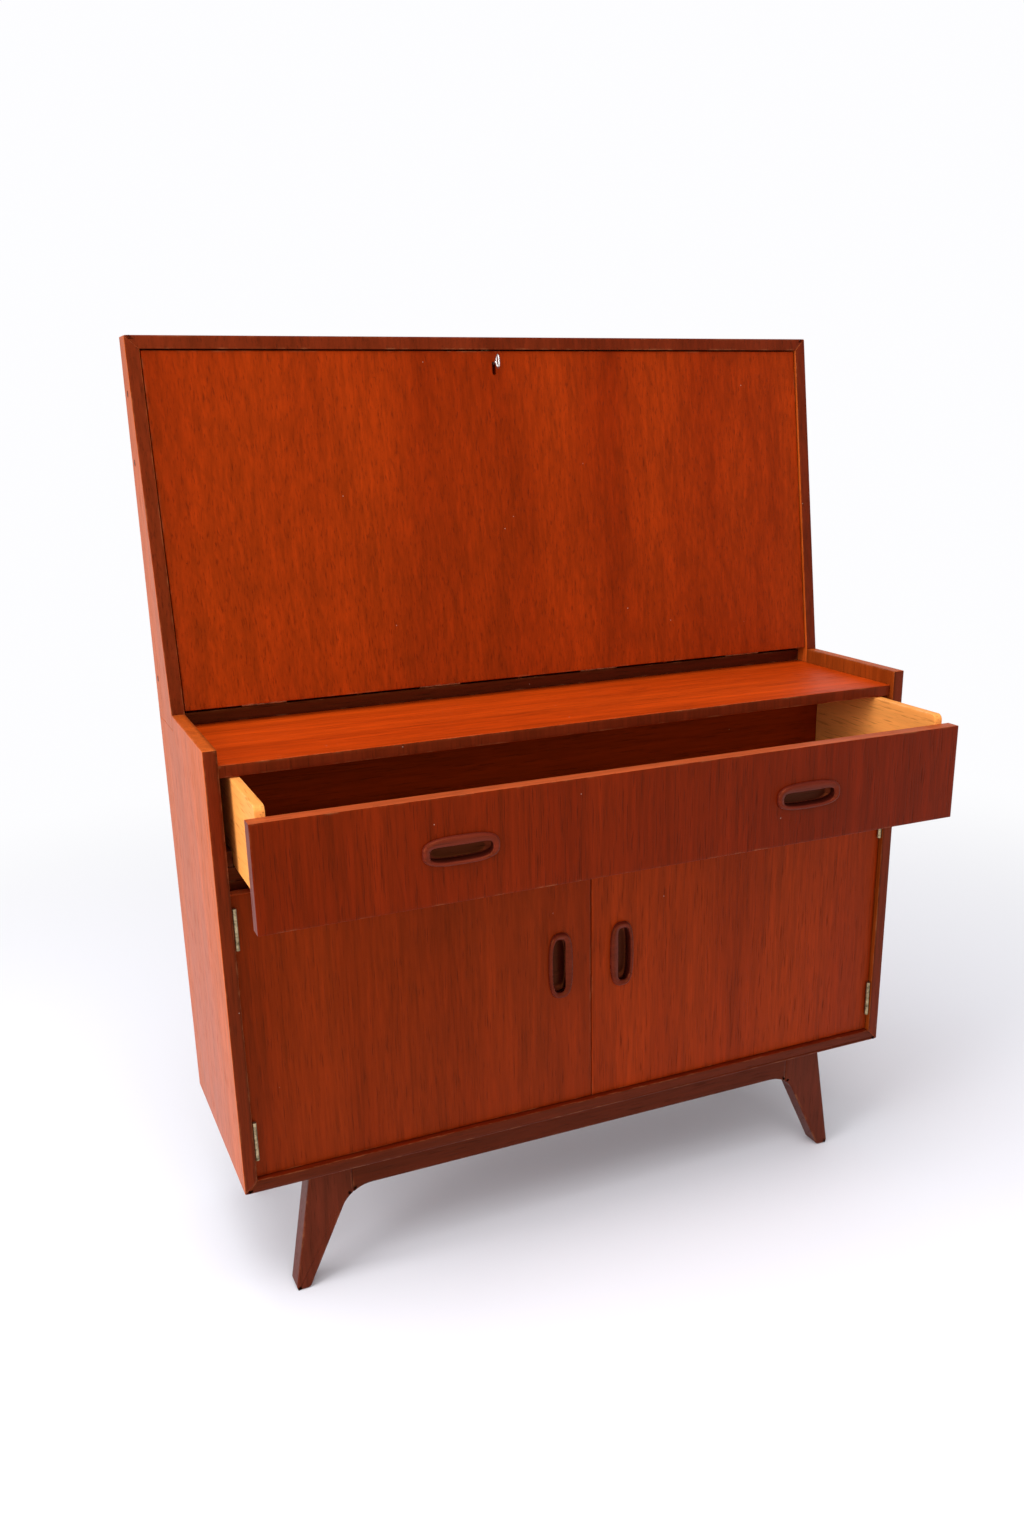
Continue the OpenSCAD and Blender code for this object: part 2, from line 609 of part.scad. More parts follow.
module door_plate() hinge_middles() difference() {
    union() {
        block([-inner_x - leaf_t, hinge_y + knuckle_r, -hinge_l / 2], [-inner_x, leaf_back, hinge_l / 2]);
        for (s = [0, 1]) mirror([0, 0, s]) {
            block([-inner_x - leaf_t, hinge_y - 0.5, knuckle_half + 0.1],
                [-inner_x + 0.6, hinge_y + 0.5, hinge_l / 2]);
            block([-inner_x - leaf_t, hinge_y, knuckle_half + 0.1],
                [-inner_x, hinge_y + knuckle_r, hinge_l / 2]);
            translate([-hinge_x, hinge_y, knuckle_half + 0.1])
                cylinder(r = knuckle_r, h = hinge_l / 2 - knuckle_half - 0.1);
        }
    }
    door_pin_bore();
}
module catch_strike() block([-20, door_in_y, stop_under - 11], [-4, door_in_y + 0.5, stop_under - 1]);

module door_left() color(teak) in_case() door();
module door_right() color(teak) in_case() mirror([1, 0, 0]) door();
module door_pull_left() color(teak_dark) in_case() on_door() pull();
module door_pull_right() color(teak_dark) in_case() mirror([1, 0, 0]) on_door() pull();
module door_leaves_left() color(brass) in_case() door_leaf();
module door_leaves_right() color(brass) in_case() mirror([1, 0, 0]) door_leaf();
module catch_plate_left() color(steel) in_case() catch_strike();
module catch_plate_right() color(steel) in_case() mirror([1, 0, 0]) catch_strike();
module door_hinge_plates() color(brass) in_case() for (s = [0, 1]) mirror([s, 0, 0]) door_plate();
module door_hinge_pins() color(steel) in_case() for (s = [0, 1]) mirror([s, 0, 0]) hinge_middles()
    translate([-hinge_x, hinge_y, -hinge_l / 2]) cylinder(r = pin_r, h = hinge_l);
module catch_housing() color("dimgray") in_case()
    block([-24, stop_y, stop_under - 12], [24, stop_y + stop_depth, stop_under]);

side_left();
side_right();
bottom_board();
ledge_board();
divider_board();
stop_rail();
case_back();
cupboard_shelf();
shelf_pins();
drawer_guide_left();
drawer_guide_right();
leg_front_left();
leg_front_right();
leg_back_left();
leg_back_right();
front_rail();
back_rail();
side_rail_left();
side_rail_right();
frame_screws();
upper_side_left();
upper_side_right();
upper_top();
upper_floor();
upper_back();
flap_stops();
letter_shelf();
letter_divider_1();
letter_divider_2();
letter_divider_3();
side_plugs();
case_dowels();
door_hinge_plates();
door_hinge_pins();
flap_hinge_plates();
flap_hinge_pins();
strike_plate();
catch_housing();
drawer_front();
drawer_side_left();
drawer_side_right();
drawer_back();
drawer_bottom();
drawer_pull_left();
drawer_pull_right();
door_left();
door_pull_left();
door_leaves_left();
catch_plate_left();
door_right();
door_pull_right();
door_leaves_right();
catch_plate_right();
flap_panel();
flap_leaves();
lock_case();
escutcheon();
key();
lock_bolt();
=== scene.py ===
# %% [markdown]
# # A secretary desk in oiled teak
# A low cabinet with a drawer and two doors stands on splayed legs. The slant-front unit
# on it has a leaf that folds down to write on. The packed frame holds every board at its
# true place, so each new piece takes its size from the frame and none is fitted by hand.

# %% Load the frame
import json

import bmesh
import bpy
import numpy as np
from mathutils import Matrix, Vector


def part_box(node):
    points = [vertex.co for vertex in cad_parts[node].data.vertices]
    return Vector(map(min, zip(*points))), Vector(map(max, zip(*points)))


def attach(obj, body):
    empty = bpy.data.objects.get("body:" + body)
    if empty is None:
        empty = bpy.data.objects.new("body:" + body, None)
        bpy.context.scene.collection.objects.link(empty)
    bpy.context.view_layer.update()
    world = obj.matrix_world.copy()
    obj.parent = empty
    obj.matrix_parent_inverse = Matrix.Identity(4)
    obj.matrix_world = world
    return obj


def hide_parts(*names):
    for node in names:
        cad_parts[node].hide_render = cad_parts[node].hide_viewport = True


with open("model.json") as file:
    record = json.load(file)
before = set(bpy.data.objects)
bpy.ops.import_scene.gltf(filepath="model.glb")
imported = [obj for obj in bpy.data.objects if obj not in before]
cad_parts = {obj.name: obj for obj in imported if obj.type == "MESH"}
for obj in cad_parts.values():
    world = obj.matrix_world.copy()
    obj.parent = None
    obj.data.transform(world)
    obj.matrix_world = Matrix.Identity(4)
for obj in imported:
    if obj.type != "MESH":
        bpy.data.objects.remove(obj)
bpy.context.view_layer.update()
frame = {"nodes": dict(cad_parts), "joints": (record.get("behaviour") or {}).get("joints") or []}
nodes = frame["nodes"]

MM = 0.001


def corners(node):
    """Lowest and highest corner of a node, as arrays."""
    low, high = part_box(node)
    return np.array(low), np.array(high)


# %% [markdown]
# ## The camera
# The desk is seen from its left front corner, from a little above its top. The lens is a
# plain 30 mm one on a 36 mm frame, shifted slightly upwards. A camera can be aimed with
# three angles; a line of sight and an up direction are easier to read, so they are used.

# %% Camera
case_low, case_high = corners("side_left")
CASE_FRONT = case_low[1]
CASE_FLOOR = case_low[2]
CAMERA_FROM_CASE = (-0.7297, -1.4417, 0.9457)
CAMERA_AT = np.array(CAMERA_FROM_CASE) + (0, CASE_FRONT, CASE_FLOOR)
CAMERA_LOOK = Vector((0.3791, 0.8717, -0.3106))
CAMERA_UP = Vector((0.141, 0.2774, 0.9504))
SENSOR_WIDTH = 36
LENS = 29.9
LENS_SHIFT = (-0.0069, 0.0417)


def add_camera():
    """A camera whose axes are its line of sight, its up direction and their cross product."""
    data = bpy.data.cameras.new("camera")
    data.sensor_width = SENSOR_WIDTH
    data.lens = LENS
    data.shift_x, data.shift_y = LENS_SHIFT
    data.clip_end = 100
    camera = bpy.data.objects.new("camera", data)
    bpy.context.scene.collection.objects.link(camera)
    back = -CAMERA_LOOK.normalized()
    right = CAMERA_UP.cross(back).normalized()
    up = back.cross(right)
    turn = camera.matrix_world.to_3x3()
    turn.col[0], turn.col[1], turn.col[2] = right, up, back
    camera.matrix_world = turn.to_4x4()
    camera.location = CAMERA_AT
    bpy.context.scene.camera = camera
    print("camera at", np.round(CAMERA_AT, 3))


add_camera()

# %% [markdown]
# ## Node helpers
# A material is a small graph of nodes. Each node could be made, set and linked line by line;
# these helpers do the three in one call, so that each recipe reads like a list of steps.


# %% Graph helpers
class Graph:
    """Adds nodes to one material. A value may be a number, a colour or another node's socket."""

    def __init__(self, name):
        self.material = bpy.data.materials.new(name)
        self.material.use_nodes = True
        self.tree = self.material.node_tree
        self.tree.nodes.clear()
        self.shader = self.add("ShaderNodeBsdfPrincipled")
        out = self.add("ShaderNodeOutputMaterial")
        self.tree.links.new(self.shader.outputs[0], out.inputs["Surface"])

    def add(self, kind, inputs=None, **settings):
        node = self.tree.nodes.new(kind)
        for key, value in settings.items():
            setattr(node, key, value)
        for key, value in (inputs or {}).items():
            self.put(node.inputs[key], value)
        return node

    def put(self, socket, value):
        if isinstance(value, bpy.types.NodeSocket):
            self.tree.links.new(value, socket)
        else:
            socket.default_value = value

    def math(self, operation, a, b=0.0):
        return self.add("ShaderNodeMath", {0: a, 1: b}, operation=operation).outputs[0]

    def mix(self, factor, a, b, blend="MIX"):
        node = self.add("ShaderNodeMix", data_type="RGBA", blend_type=blend)
        self.put(node.inputs[0], factor)
        self.put(node.inputs[6], a)
        self.put(node.inputs[7], b)
        return node.outputs[2]

    def stretch(self, value, low, high, new_low=0.0, new_high=1.0):
        inputs = {"Value": value, "From Min": low, "From Max": high}
        inputs.update({"To Min": new_low, "To Max": new_high})
        return self.add("ShaderNodeMapRange", inputs, clamp=True).outputs[0]

    def place(self, scale, turn=(0, 0, 0), at=(0, 0, 0)):
        coords = self.add("ShaderNodeTexCoord").outputs["Object"]
        inputs = {"Vector": coords, "Location": at, "Rotation": turn, "Scale": scale}
        return self.add("ShaderNodeMapping", inputs).outputs[0]

    def noise(self, vector, scale, detail=4.0, rough=0.5, distortion=0.0):
        inputs = {"Vector": vector, "Scale": scale, "Detail": detail}
        inputs.update({"Roughness": rough, "Distortion": distortion})
        return self.add("ShaderNodeTexNoise", inputs).outputs["Fac"]

    def bump(self, height, distance, strength=1.0):
        inputs = {"Height": height, "Distance": distance, "Strength": strength}
        return self.add("ShaderNodeBump", inputs).outputs[0]

    def finish(self, **sockets):
        for key, value in sockets.items():
            self.put(self.shader.inputs[key.replace("_", " ")], value)
        return self.material


def rgba(color, share=1.0):
    """A colour as the sockets take it, darkened to a share of its strength."""
    return (*(share * value for value in color), 1.0)


print("graph helpers:", [name for name in vars(Graph) if not name.startswith("_")])

# %% [markdown]
# ## Oiled teak
# Teak is a warm brown wood with darker growth lines and long open pores. Old oil has turned
# it a deep reddish orange. A scan of a veneer could be wrapped round each board, but it
# would repeat, and its grain would end at the edges. Here noise in the board's own space
# is drawn out along the grain, so every board differs and its edges match its faces.
#
# The recipe lays a slow change of tone, bands, growth lines, fibres and pores over one
# another, with a few specks. A mesh attribute named wear marks edges that hands have rubbed
# paler, and one named shade holds painted shade: it darkens faces that corners, hollows
# and the ledge keep in shadow.

# %% Grain
OIL = (1.0, 0.30, 0.06)
OIL_LEVEL = 0.27
PALE_SPECK = (0.80, 0.62, 0.50)
PALE_CHANCE = 0.95
DARK_CHANCE = 0.06
TONE_SCALE, TONE_DRAW = 9.0, 0.08
BAND_SCALE, BAND_DRAW = 46.0, 0.03
FIBRE_SCALE, FIBRE_DRAW = 200.0, 0.055
PORE_SCALE, PORE_DRAW = 560.0, 0.05
HILL_SCALE, HILL_DRAW = 5.0, 0.10
LINES_PER_HILL = 26.0
SPECK_SCALE = 70.0
WEAR_SCALE = 34.0
GRAIN_RELIEF = 0.00012


def drawn(grain, share):
    """Texture scales that draw a pattern out along the grain; a smaller share draws it further."""
    return tuple(share if axis == grain else 1.0 for axis in "xyz")


def figure_of(g, grain, at, figure):
    """Brightness = 1 + figure (bands + fibres + lines); a noise's level lines are the lines."""
    bands = g.noise(g.place(drawn(grain, BAND_DRAW), at=at), BAND_SCALE, 4.0, 0.6, 0.1)
    fibres = g.noise(g.place(drawn(grain, FIBRE_DRAW), at=at), FIBRE_SCALE, 4.0, 0.65)
    hills = g.noise(g.place(drawn(grain, HILL_DRAW), at=at), HILL_SCALE, 1.0, 0.3)
    ring = g.math("PINGPONG", g.math("MULTIPLY", hills, LINES_PER_HILL), 0.5)
    line = g.math("MULTIPLY", g.stretch(ring, 0.0, 0.10, -0.17, 0.0), g.stretch(fibres, 0.40, 0.60))
    streaks = g.stretch(fibres, 0.32, 0.68, -0.21, 0.20)
    marks = g.math("ADD", g.math("ADD", g.stretch(bands, 0.3, 0.7, -0.17, 0.15), streaks), line)
    return fibres, g.math("ADD", g.math("MULTIPLY", marks, figure), 1.0)


def with_specks(g, base, dark, at, specks):
    """A dot in each cell of a Voronoi pattern; the cell's random colour picks the few that show."""
    inputs = {"Vector": g.place((1, 1, 1), at=at), "Scale": SPECK_SCALE, "Randomness": 1.0}
    cells = g.add("ShaderNodeTexVoronoi", inputs)
    dot = g.stretch(cells.outputs["Distance"], 0.035, 0.05, 1.0, 0.0)
    chance = g.add("ShaderNodeSeparateColor", {0: cells.outputs["Color"]}).outputs[0]
    pale = g.math("MULTIPLY", dot, g.math("GREATER_THAN", chance, PALE_CHANCE))
    stain = g.math("MULTIPLY", dot, g.math("LESS_THAN", chance, DARK_CHANCE))
    base = g.mix(g.math("MULTIPLY", pale, specks), base, rgba(PALE_SPECK))
    return g.mix(g.math("MULTIPLY", stain, 0.8), base, rgba(dark, 0.25))


print("fibres are about", round(1000 / FIBRE_SCALE, 1), "mm apart before they are drawn out")


# %% Wood recipe
def wood(name, light, middle, dark, grain, seed, rub=(0.45, 0.17, 0.07), gloss=0.42, specks=0.5, figure=1.0):
    """Colour = slow tone, then figure and pores, then specks, then painted shade and rubbed edges."""
    g = Graph(name)
    at = (seed, seed * 1.7, seed * 0.6)
    slow = g.noise(g.place(drawn(grain, TONE_DRAW), at=at), TONE_SCALE, 3.0, 0.5)
    tone = g.mix(g.stretch(slow, 0.32, 0.68), rgba(dark), rgba(light))
    base = g.mix(0.5, tone, rgba(middle))
    fibres, shade = figure_of(g, grain, at, figure)
    grey = g.add("ShaderNodeCombineColor", {0: shade, 1: shade, 2: shade}).outputs[0]
    base = g.mix(1.0, base, grey, "MULTIPLY")
    pore = g.noise(g.place(drawn(grain, PORE_DRAW), at=at), PORE_SCALE, 2.0, 0.5)
    pore = g.stretch(pore, 0.58, 0.70)
    base = g.mix(g.math("MULTIPLY", pore, 0.5), base, rgba(dark, 0.4))
    base = with_specks(g, base, dark, at, specks)
    # The shade attribute is painted shade: faces that lie in shadow are mixed towards a dark tone.
    shaded = g.add("ShaderNodeAttribute", attribute_name="shade").outputs["Fac"]
    base = g.mix(g.math("MULTIPLY", shaded, 0.7), base, rgba(dark, 0.15))
    wear = g.add("ShaderNodeAttribute", attribute_name="wear").outputs["Fac"]
    patchy = g.stretch(g.noise(g.place((1, 1, 1), at=at), WEAR_SCALE, 5.0, 0.7), 0.50, 0.70)
    rubbed = g.math("MULTIPLY", g.math("POWER", wear, 5.0), patchy)
    base = g.mix(g.math("MULTIPLY", rubbed, 0.32), base, rgba(rub))
    sheen = g.stretch(slow, 0.3, 0.7, gloss - 0.05, gloss + 0.06)
    rough = g.math("ADD", sheen, g.math("MULTIPLY", pore, 0.2))
    depth = g.math("ADD", g.math("MULTIPLY", pore, -1.0), g.math("MULTIPLY", fibres, 0.6))
    g.shader.inputs["Specular IOR Level"].default_value = OIL_LEVEL
    relief = g.bump(depth, GRAIN_RELIEF, 0.8)
    return g.finish(Base_Color=base, Roughness=rough, Normal=relief, Specular_Tint=rgba(OIL))


# %% Wood finishes
VENEER = {
    # The leaf's tones are its own teak and, in part, painted shade on the leaning leaf.
    "leaf": wood("teak leaf", (0.27, 0.024, 0.001), (0.205, 0.014, 0.0006), (0.145, 0.0085, 0.0005),
                 "z", 0.3),
    "left door": wood("teak left door", (0.215, 0.021, 0.0018), (0.165, 0.0125, 0.001),
                      (0.11, 0.007, 0.0006), "z", 1.1),
    "right door": wood("teak right door", (0.255, 0.024, 0.0018), (0.2, 0.015, 0.001),
                       (0.135, 0.0085, 0.0006), "z", 2.4),
    "drawer front": wood("teak drawer front", (0.165, 0.012, 0.001), (0.122, 0.0065, 0.0006),
                         (0.085, 0.004, 0.0005), "z", 3.7),
    # The ledge's tones are its own lighter teak and, in part, painted light on a face that looks up.
    "ledge": wood("teak ledge", (0.54, 0.06, 0.003), (0.45, 0.042, 0.0018), (0.32, 0.024, 0.001),
                  "x", 4.2),
    "side": wood("teak side", (0.5, 0.095, 0.011), (0.42, 0.07, 0.007), (0.3, 0.042, 0.0045),
                 "z", 5.9),
    # The drawer inside is set lighter as painted light where light reaches into the drawer.
    "drawer inside": wood("teak drawer inside", (0.4, 0.046, 0.0022), (0.33, 0.032, 0.0014),
                          (0.24, 0.02, 0.001), "x", 5.1),
    "across": wood("teak across", (0.19, 0.016, 0.002), (0.14, 0.0095, 0.0014), (0.09, 0.0055, 0.0008),
                   "x", 6.3),
}
SOLID = {
    "edge": wood("teak edge strip", (0.142, 0.016, 0.0042), (0.107, 0.01, 0.0026),
                 (0.073, 0.0062, 0.0018), "z", 7.1),
    "upright": wood("solid teak upright", (0.105, 0.015, 0.007), (0.075, 0.01, 0.0045),
                    (0.048, 0.006, 0.003), "z", 7.5),
    "across": wood("solid teak across", (0.085, 0.01, 0.0036), (0.06, 0.0062, 0.0022),
                   (0.038, 0.0038, 0.0014), "x", 8.1),
    "deep": wood("solid teak deep", (0.1, 0.014, 0.006), (0.072, 0.009, 0.004), (0.048, 0.0058, 0.0025),
                 "y", 8.8),
    "lip": wood("teak lip", (0.46, 0.09, 0.024), (0.38, 0.066, 0.017), (0.28, 0.044, 0.011),
                "x", 2.9),
    "pull": wood("solid teak pull", (0.15, 0.019, 0.009), (0.1, 0.011, 0.006), (0.06, 0.0065, 0.004),
                 "x", 9.4, gloss=0.3, specks=0.15),
}
PALE = {
    "deep": wood("beech deep", (0.88, 0.36, 0.085), (0.82, 0.31, 0.07), (0.68, 0.22, 0.045),
                 "y", 10.2, rub=(0.9, 0.7, 0.45), gloss=0.5, specks=0.1, figure=0.35),
    "across": wood("beech across", (0.8, 0.36, 0.11), (0.72, 0.3, 0.09), (0.58, 0.22, 0.06),
                   "x", 11.6, rub=(0.9, 0.7, 0.45), gloss=0.5, specks=0.1, figure=0.4),
    "upright": wood("ply back", (0.55, 0.27, 0.1), (0.47, 0.22, 0.08), (0.36, 0.16, 0.06),
                    "z", 12.1, rub=(0.75, 0.55, 0.35), gloss=0.6, specks=0.1, figure=0.6),
}
print("wood finishes:", len(VENEER) + len(SOLID) + len(PALE))

# %% [markdown]
# ## Brass, steel and black plastic
# The hinges and the lock plate are brass that has gone brown where no hand rubs it; the
# brass is also made darker overall as painted shade, for hinges that sit in shadow. The key
# and the pins are steel with a fine brushed grain. A plain metal shader would look new, so a
# noise mixes clean and stained metal, and the stain is rougher too.

# %% Metal finishes
STAIN_SCALE = 160.0
SCRATCH_SCALE = 2500.0
MOULD_SCALE = 1800.0


def metal(name, clean, stained, low_rough, high_rough, seed):
    """Metal whose stain follows a noise, rougher where it is stained."""
    g = Graph(name)
    cloud = g.noise(g.place((1, 1, 1), at=(seed, 0, 0)), STAIN_SCALE, 6.0, 0.65)
    stain = g.stretch(cloud, 0.40, 0.66)
    scratches = g.noise(g.place((1, 1, 0.08), at=(seed, 0, 0)), SCRATCH_SCALE, 2.0)
    color = g.mix(stain, rgba(clean), rgba(stained))
    rough = g.stretch(stain, 0, 1, low_rough, high_rough)
    rough = g.math("ADD", rough, g.math("MULTIPLY", scratches, 0.08))
    relief = g.bump(scratches, 0.00002, 0.6)
    return g.finish(Base_Color=color, Metallic=1.0, Roughness=rough, Normal=relief)


def catch_plastic():
    """Black plastic with a fine moulded grain."""
    g = Graph("catch plastic")
    grain = g.noise(g.place((1, 1, 1)), MOULD_SCALE, 3.0)
    color = g.mix(grain, rgba((0.012, 0.011, 0.010)), rgba((0.03, 0.028, 0.026)))
    rough = g.stretch(grain, 0.3, 0.7, 0.42, 0.6)
    return g.finish(Base_Color=color, Roughness=rough, Normal=g.bump(grain, 0.00004))


# The dark stain is both real tarnish and painted shade for the hinges that sit in shadow.
BRASS = metal("aged brass with painted shade", (0.42, 0.33, 0.19), (0.12, 0.085, 0.045), 0.30, 0.55, 0.4)
RUBBED_BRASS = metal("rubbed brass", (0.85, 0.68, 0.46), (0.55, 0.40, 0.24), 0.18, 0.34, 3.3)
STEEL = metal("steel", (0.62, 0.61, 0.60), (0.34, 0.32, 0.30), 0.20, 0.42, 1.9)
PLASTIC = catch_plastic()
print("also:", [material.name for material in (BRASS, RUBBED_BRASS, STEEL, PLASTIC)])

# %% [markdown]
# ## Boards with softened edges
# A sanded board has no knife edges: each one is rounded by about a millimetre, and that
# thin round catches the light. A Bevel modifier would round a box, but it couldn't say
# which points lie on an edge. So a board here is an outline carried from one end to the
# other. Its corners become arcs, its end faces shrink by the same arc, and a further loop
# 4 mm in keeps the broad faces flat. The loops on the arcs carry the wear attribute.

# %% Outline with rounded corners
ARC_STEPS = 4
WEAR_WIDTH = 4 * MM
EDGE_TURN = 0.35


def side_normals(sides):
    """A side (x, y) of an anticlockwise outline faces (y, -x)."""
    return np.stack([sides[:, 1], -sides[:, 0]], axis=1)


def inset_loop(points, radius, inset):
    """Each corner turns into a point before it, an arc, and a point after it; the loop moves in.
    An outward corner at P has its arc's centre at P - r m, where m = (n1 + n2) / (1 + n1.n2).
    A corner counts as an edge where the sine of its turn is over EDGE_TURN."""
    ahead = np.roll(points, -1, axis=0) - points
    ahead /= np.linalg.norm(ahead, axis=1, keepdims=True)
    behind = np.roll(ahead, 1, axis=0)
    n1, n2 = side_normals(behind), side_normals(ahead)
    turn = behind[:, 0] * ahead[:, 1] - behind[:, 1] * ahead[:, 0]
    sharp = turn > EDGE_TURN
    edged = np.abs(turn) > EDGE_TURN
    m = (n1 + n2) / (1 + np.sum(n1 * n2, axis=1, keepdims=True))
    r = np.where(sharp, radius, 0.0)[:, None]
    left = np.maximum(r - inset, 0.0)
    centre = points - m * np.maximum(r, inset)
    first = np.arctan2(n1[:, 1], n1[:, 0])
    swing = np.arctan2(turn, np.sum(behind * ahead, axis=1))
    angle = first[:, None] + swing[:, None] * np.linspace(0, 1, ARC_STEPS)[None, :]
    arc = centre[:, None, :] + left[:, :, None] * np.stack([np.cos(angle), np.sin(angle)], axis=2)
    reach = np.where(edged, WEAR_WIDTH + radius, 0.0)[:, None]
    before = np.where(edged[:, None], points - behind * reach - n1 * inset, points - m * inset)
    after = np.where(edged[:, None], points + ahead * reach - n2 * inset, points - m * inset)
    loop = np.concatenate([before[:, None], arc, after[:, None]], axis=1)
    mark = np.zeros(loop.shape[:2])
    mark[:, 1:-1] = edged[:, None]
    return loop.reshape(-1, 2), mark.ravel()


print("a corner becomes", ARC_STEPS + 2, "points")

# %% Mesh helpers
DOUBLES_WITHIN = 1e-6
SLIVER = 1e-7


def new_piece(name, vertices, faces, smooth=True, **marks):
    """A mesh of the arrays, with doubles joined, faces outwards, and one attribute per mark."""
    mesh = bpy.data.meshes.new(name)
    mesh.from_pydata(np.asarray(vertices).tolist(), [], faces)
    for mark, values in marks.items():
        layer = mesh.attributes.new(mark, "FLOAT", "POINT")
        layer.data.foreach_set("value", np.asarray(values, dtype=np.float32))
    work = bmesh.new()
    work.from_mesh(mesh)
    bmesh.ops.remove_doubles(work, verts=work.verts, dist=DOUBLES_WITHIN)
    bmesh.ops.dissolve_degenerate(work, edges=work.edges, dist=SLIVER)
    bmesh.ops.recalc_face_normals(work, faces=work.faces)
    work.to_mesh(mesh)
    work.free()
    if smooth:
        mesh.shade_smooth()
    else:
        mesh.shade_flat()
    piece = bpy.data.objects.new(name, mesh)
    bpy.context.scene.collection.objects.link(piece)
    return piece


def tube_faces(rings, around):
    """Quads between following rings, and one face over each end."""
    i = np.arange(rings - 1)[:, None] * around
    j = np.arange(around)[None, :]
    k = (j + 1) % around
    quads = np.stack([i + j, i + k, i + around + k, i + around + j], axis=2).reshape(-1, 4)
    first = list(range(around))[::-1]
    last = list(range((rings - 1) * around, rings * around))
    return quads.tolist() + [first, last]


def points_of(mesh):
    """The mesh's points as an array of rows x, y, z."""
    flat = np.empty(len(mesh.vertices) * 3)
    mesh.vertices.foreach_get("co", flat)
    return flat.reshape(-1, 3)


def move_points(mesh, points):
    mesh.vertices.foreach_set("co", points.ravel())
    mesh.update()


print("points this close are joined:", DOUBLES_WITHIN, "m")

# %% Board helpers
AXES = {"x": (1, 2, 0), "y": (0, 2, 1), "z": (0, 1, 2)}
EDGE_ROUND = 0.8 * MM
PANEL_ROUND = 0.5 * MM
THIN_ROUND = 0.4 * MM


def board_mesh(name, outline, axis, start, end, radius=EDGE_ROUND, far_outline=None):
    """The outline carried from start to end along an axis, with rounded edges all round.
    A ring lies radius (1 - cos a) from the end, with its loop moved in by radius (1 - sin a)."""
    near = np.asarray(outline, dtype=float)
    far = near if far_outline is None else np.asarray(far_outline, dtype=float)
    area = np.sum(near[:, 0] * np.roll(near[:, 1], -1) - near[:, 1] * np.roll(near[:, 0], -1))
    if area < 0:
        near, far = near[::-1], far[::-1]
    swing = np.linspace(0, np.pi / 2, ARC_STEPS)
    insets = np.concatenate([[radius + WEAR_WIDTH], radius * (1 - np.sin(swing)), [0.0]])
    steps = np.concatenate([[0.0], radius * (1 - np.cos(swing)), [radius + WEAR_WIDTH]])
    marks = np.concatenate([[0.0], np.ones(ARC_STEPS), [0.0]])
    insets = np.concatenate([insets, insets[::-1]])
    places = np.concatenate([start + steps, end - steps[::-1]])
    marks = np.concatenate([marks, marks[::-1]])
    share = (places - start) / (end - start)
    rings, wears = [], []
    for inset, place, mark, part in zip(insets, places, marks, share):
        loop, corner = inset_loop(near + (far - near) * part, radius, inset)
        rings.append(np.column_stack([loop, np.full(len(loop), place)]))
        wears.append(np.maximum(corner, mark) if inset <= radius else corner * 0)
    u, v, w = AXES[axis]
    flat = np.concatenate(rings)
    vertices = np.empty_like(flat)
    vertices[:, u], vertices[:, v], vertices[:, w] = flat[:, 0], flat[:, 1], flat[:, 2]
    return new_piece(name, vertices, tube_faces(len(rings), len(rings[0])), wear=np.concatenate(wears))


def settle(piece, body, material, slot, *replaced):
    """Gives a piece its finish and its body, and hides the nodes that it stands for. Its slot is not used.
    """
    piece.data.materials.clear()
    piece.data.materials.append(material)
    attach(piece, body)
    if replaced:
        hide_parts(*replaced)
    return piece


def box_outline(low, high, axis):
    u, v = AXES[axis][:2]
    return [(low[u], low[v]), (high[u], low[v]), (high[u], high[v]), (low[u], high[v])]


def plain_board(node, body, material, slot, radius=EDGE_ROUND):
    """A straight board of the node's own size."""
    low, high = corners(node)
    piece = board_mesh(node + "_board", box_outline(low, high, "z"), "z", low[2], high[2], radius)
    return settle(piece, body, material, slot, node)


print("boards are rounded by", round(EDGE_ROUND / MM, 2), "mm, thin ones by", round(THIN_ROUND / MM, 2))

# %% Cuts, edge strips and painted shade
SHARP_ANGLE = np.radians(40)
FACING = 0.75


def cut(piece, cutter):
    """Takes the cutter's shape out of the piece and removes the cutter."""
    tool = piece.modifiers.new("cut", "BOOLEAN")
    tool.operation = "DIFFERENCE"
    tool.solver = "EXACT"
    tool.object = cutter
    bpy.context.view_layer.update()
    done = bpy.data.meshes.new_from_object(piece.evaluated_get(bpy.context.evaluated_depsgraph_get()))
    piece.modifiers.clear()
    old = piece.data
    piece.data = done
    bpy.data.meshes.remove(old)
    bpy.data.objects.remove(cutter)
    done.set_sharp_from_angle(angle=SHARP_ANGLE)
    return piece


def edge_strip(piece, material, way=(0, -1, 0)):
    """Faces that look the given way, forwards at first, get the solid edge strip's finish."""
    piece.data.materials.append(material)
    count = len(piece.data.polygons)
    normals = np.empty(count * 3)
    piece.data.polygons.foreach_get("normal", normals)
    facing = normals.reshape(-1, 3) @ np.array(way) > FACING
    piece.data.polygons.foreach_set("material_index", facing.astype(np.int32))
    return piece


def paint_shade(piece, rule):
    """Stores rule(points), from 0 to 1, as the piece's shade attribute, which paints shade on it."""
    layer = piece.data.attributes.new("shade", "FLOAT", "POINT")
    layer.data.foreach_set("value", rule(points_of(piece.data)).astype(np.float32))
    return piece


print("a face gets the strip's finish within", round(np.degrees(np.arccos(FACING))), "degrees")

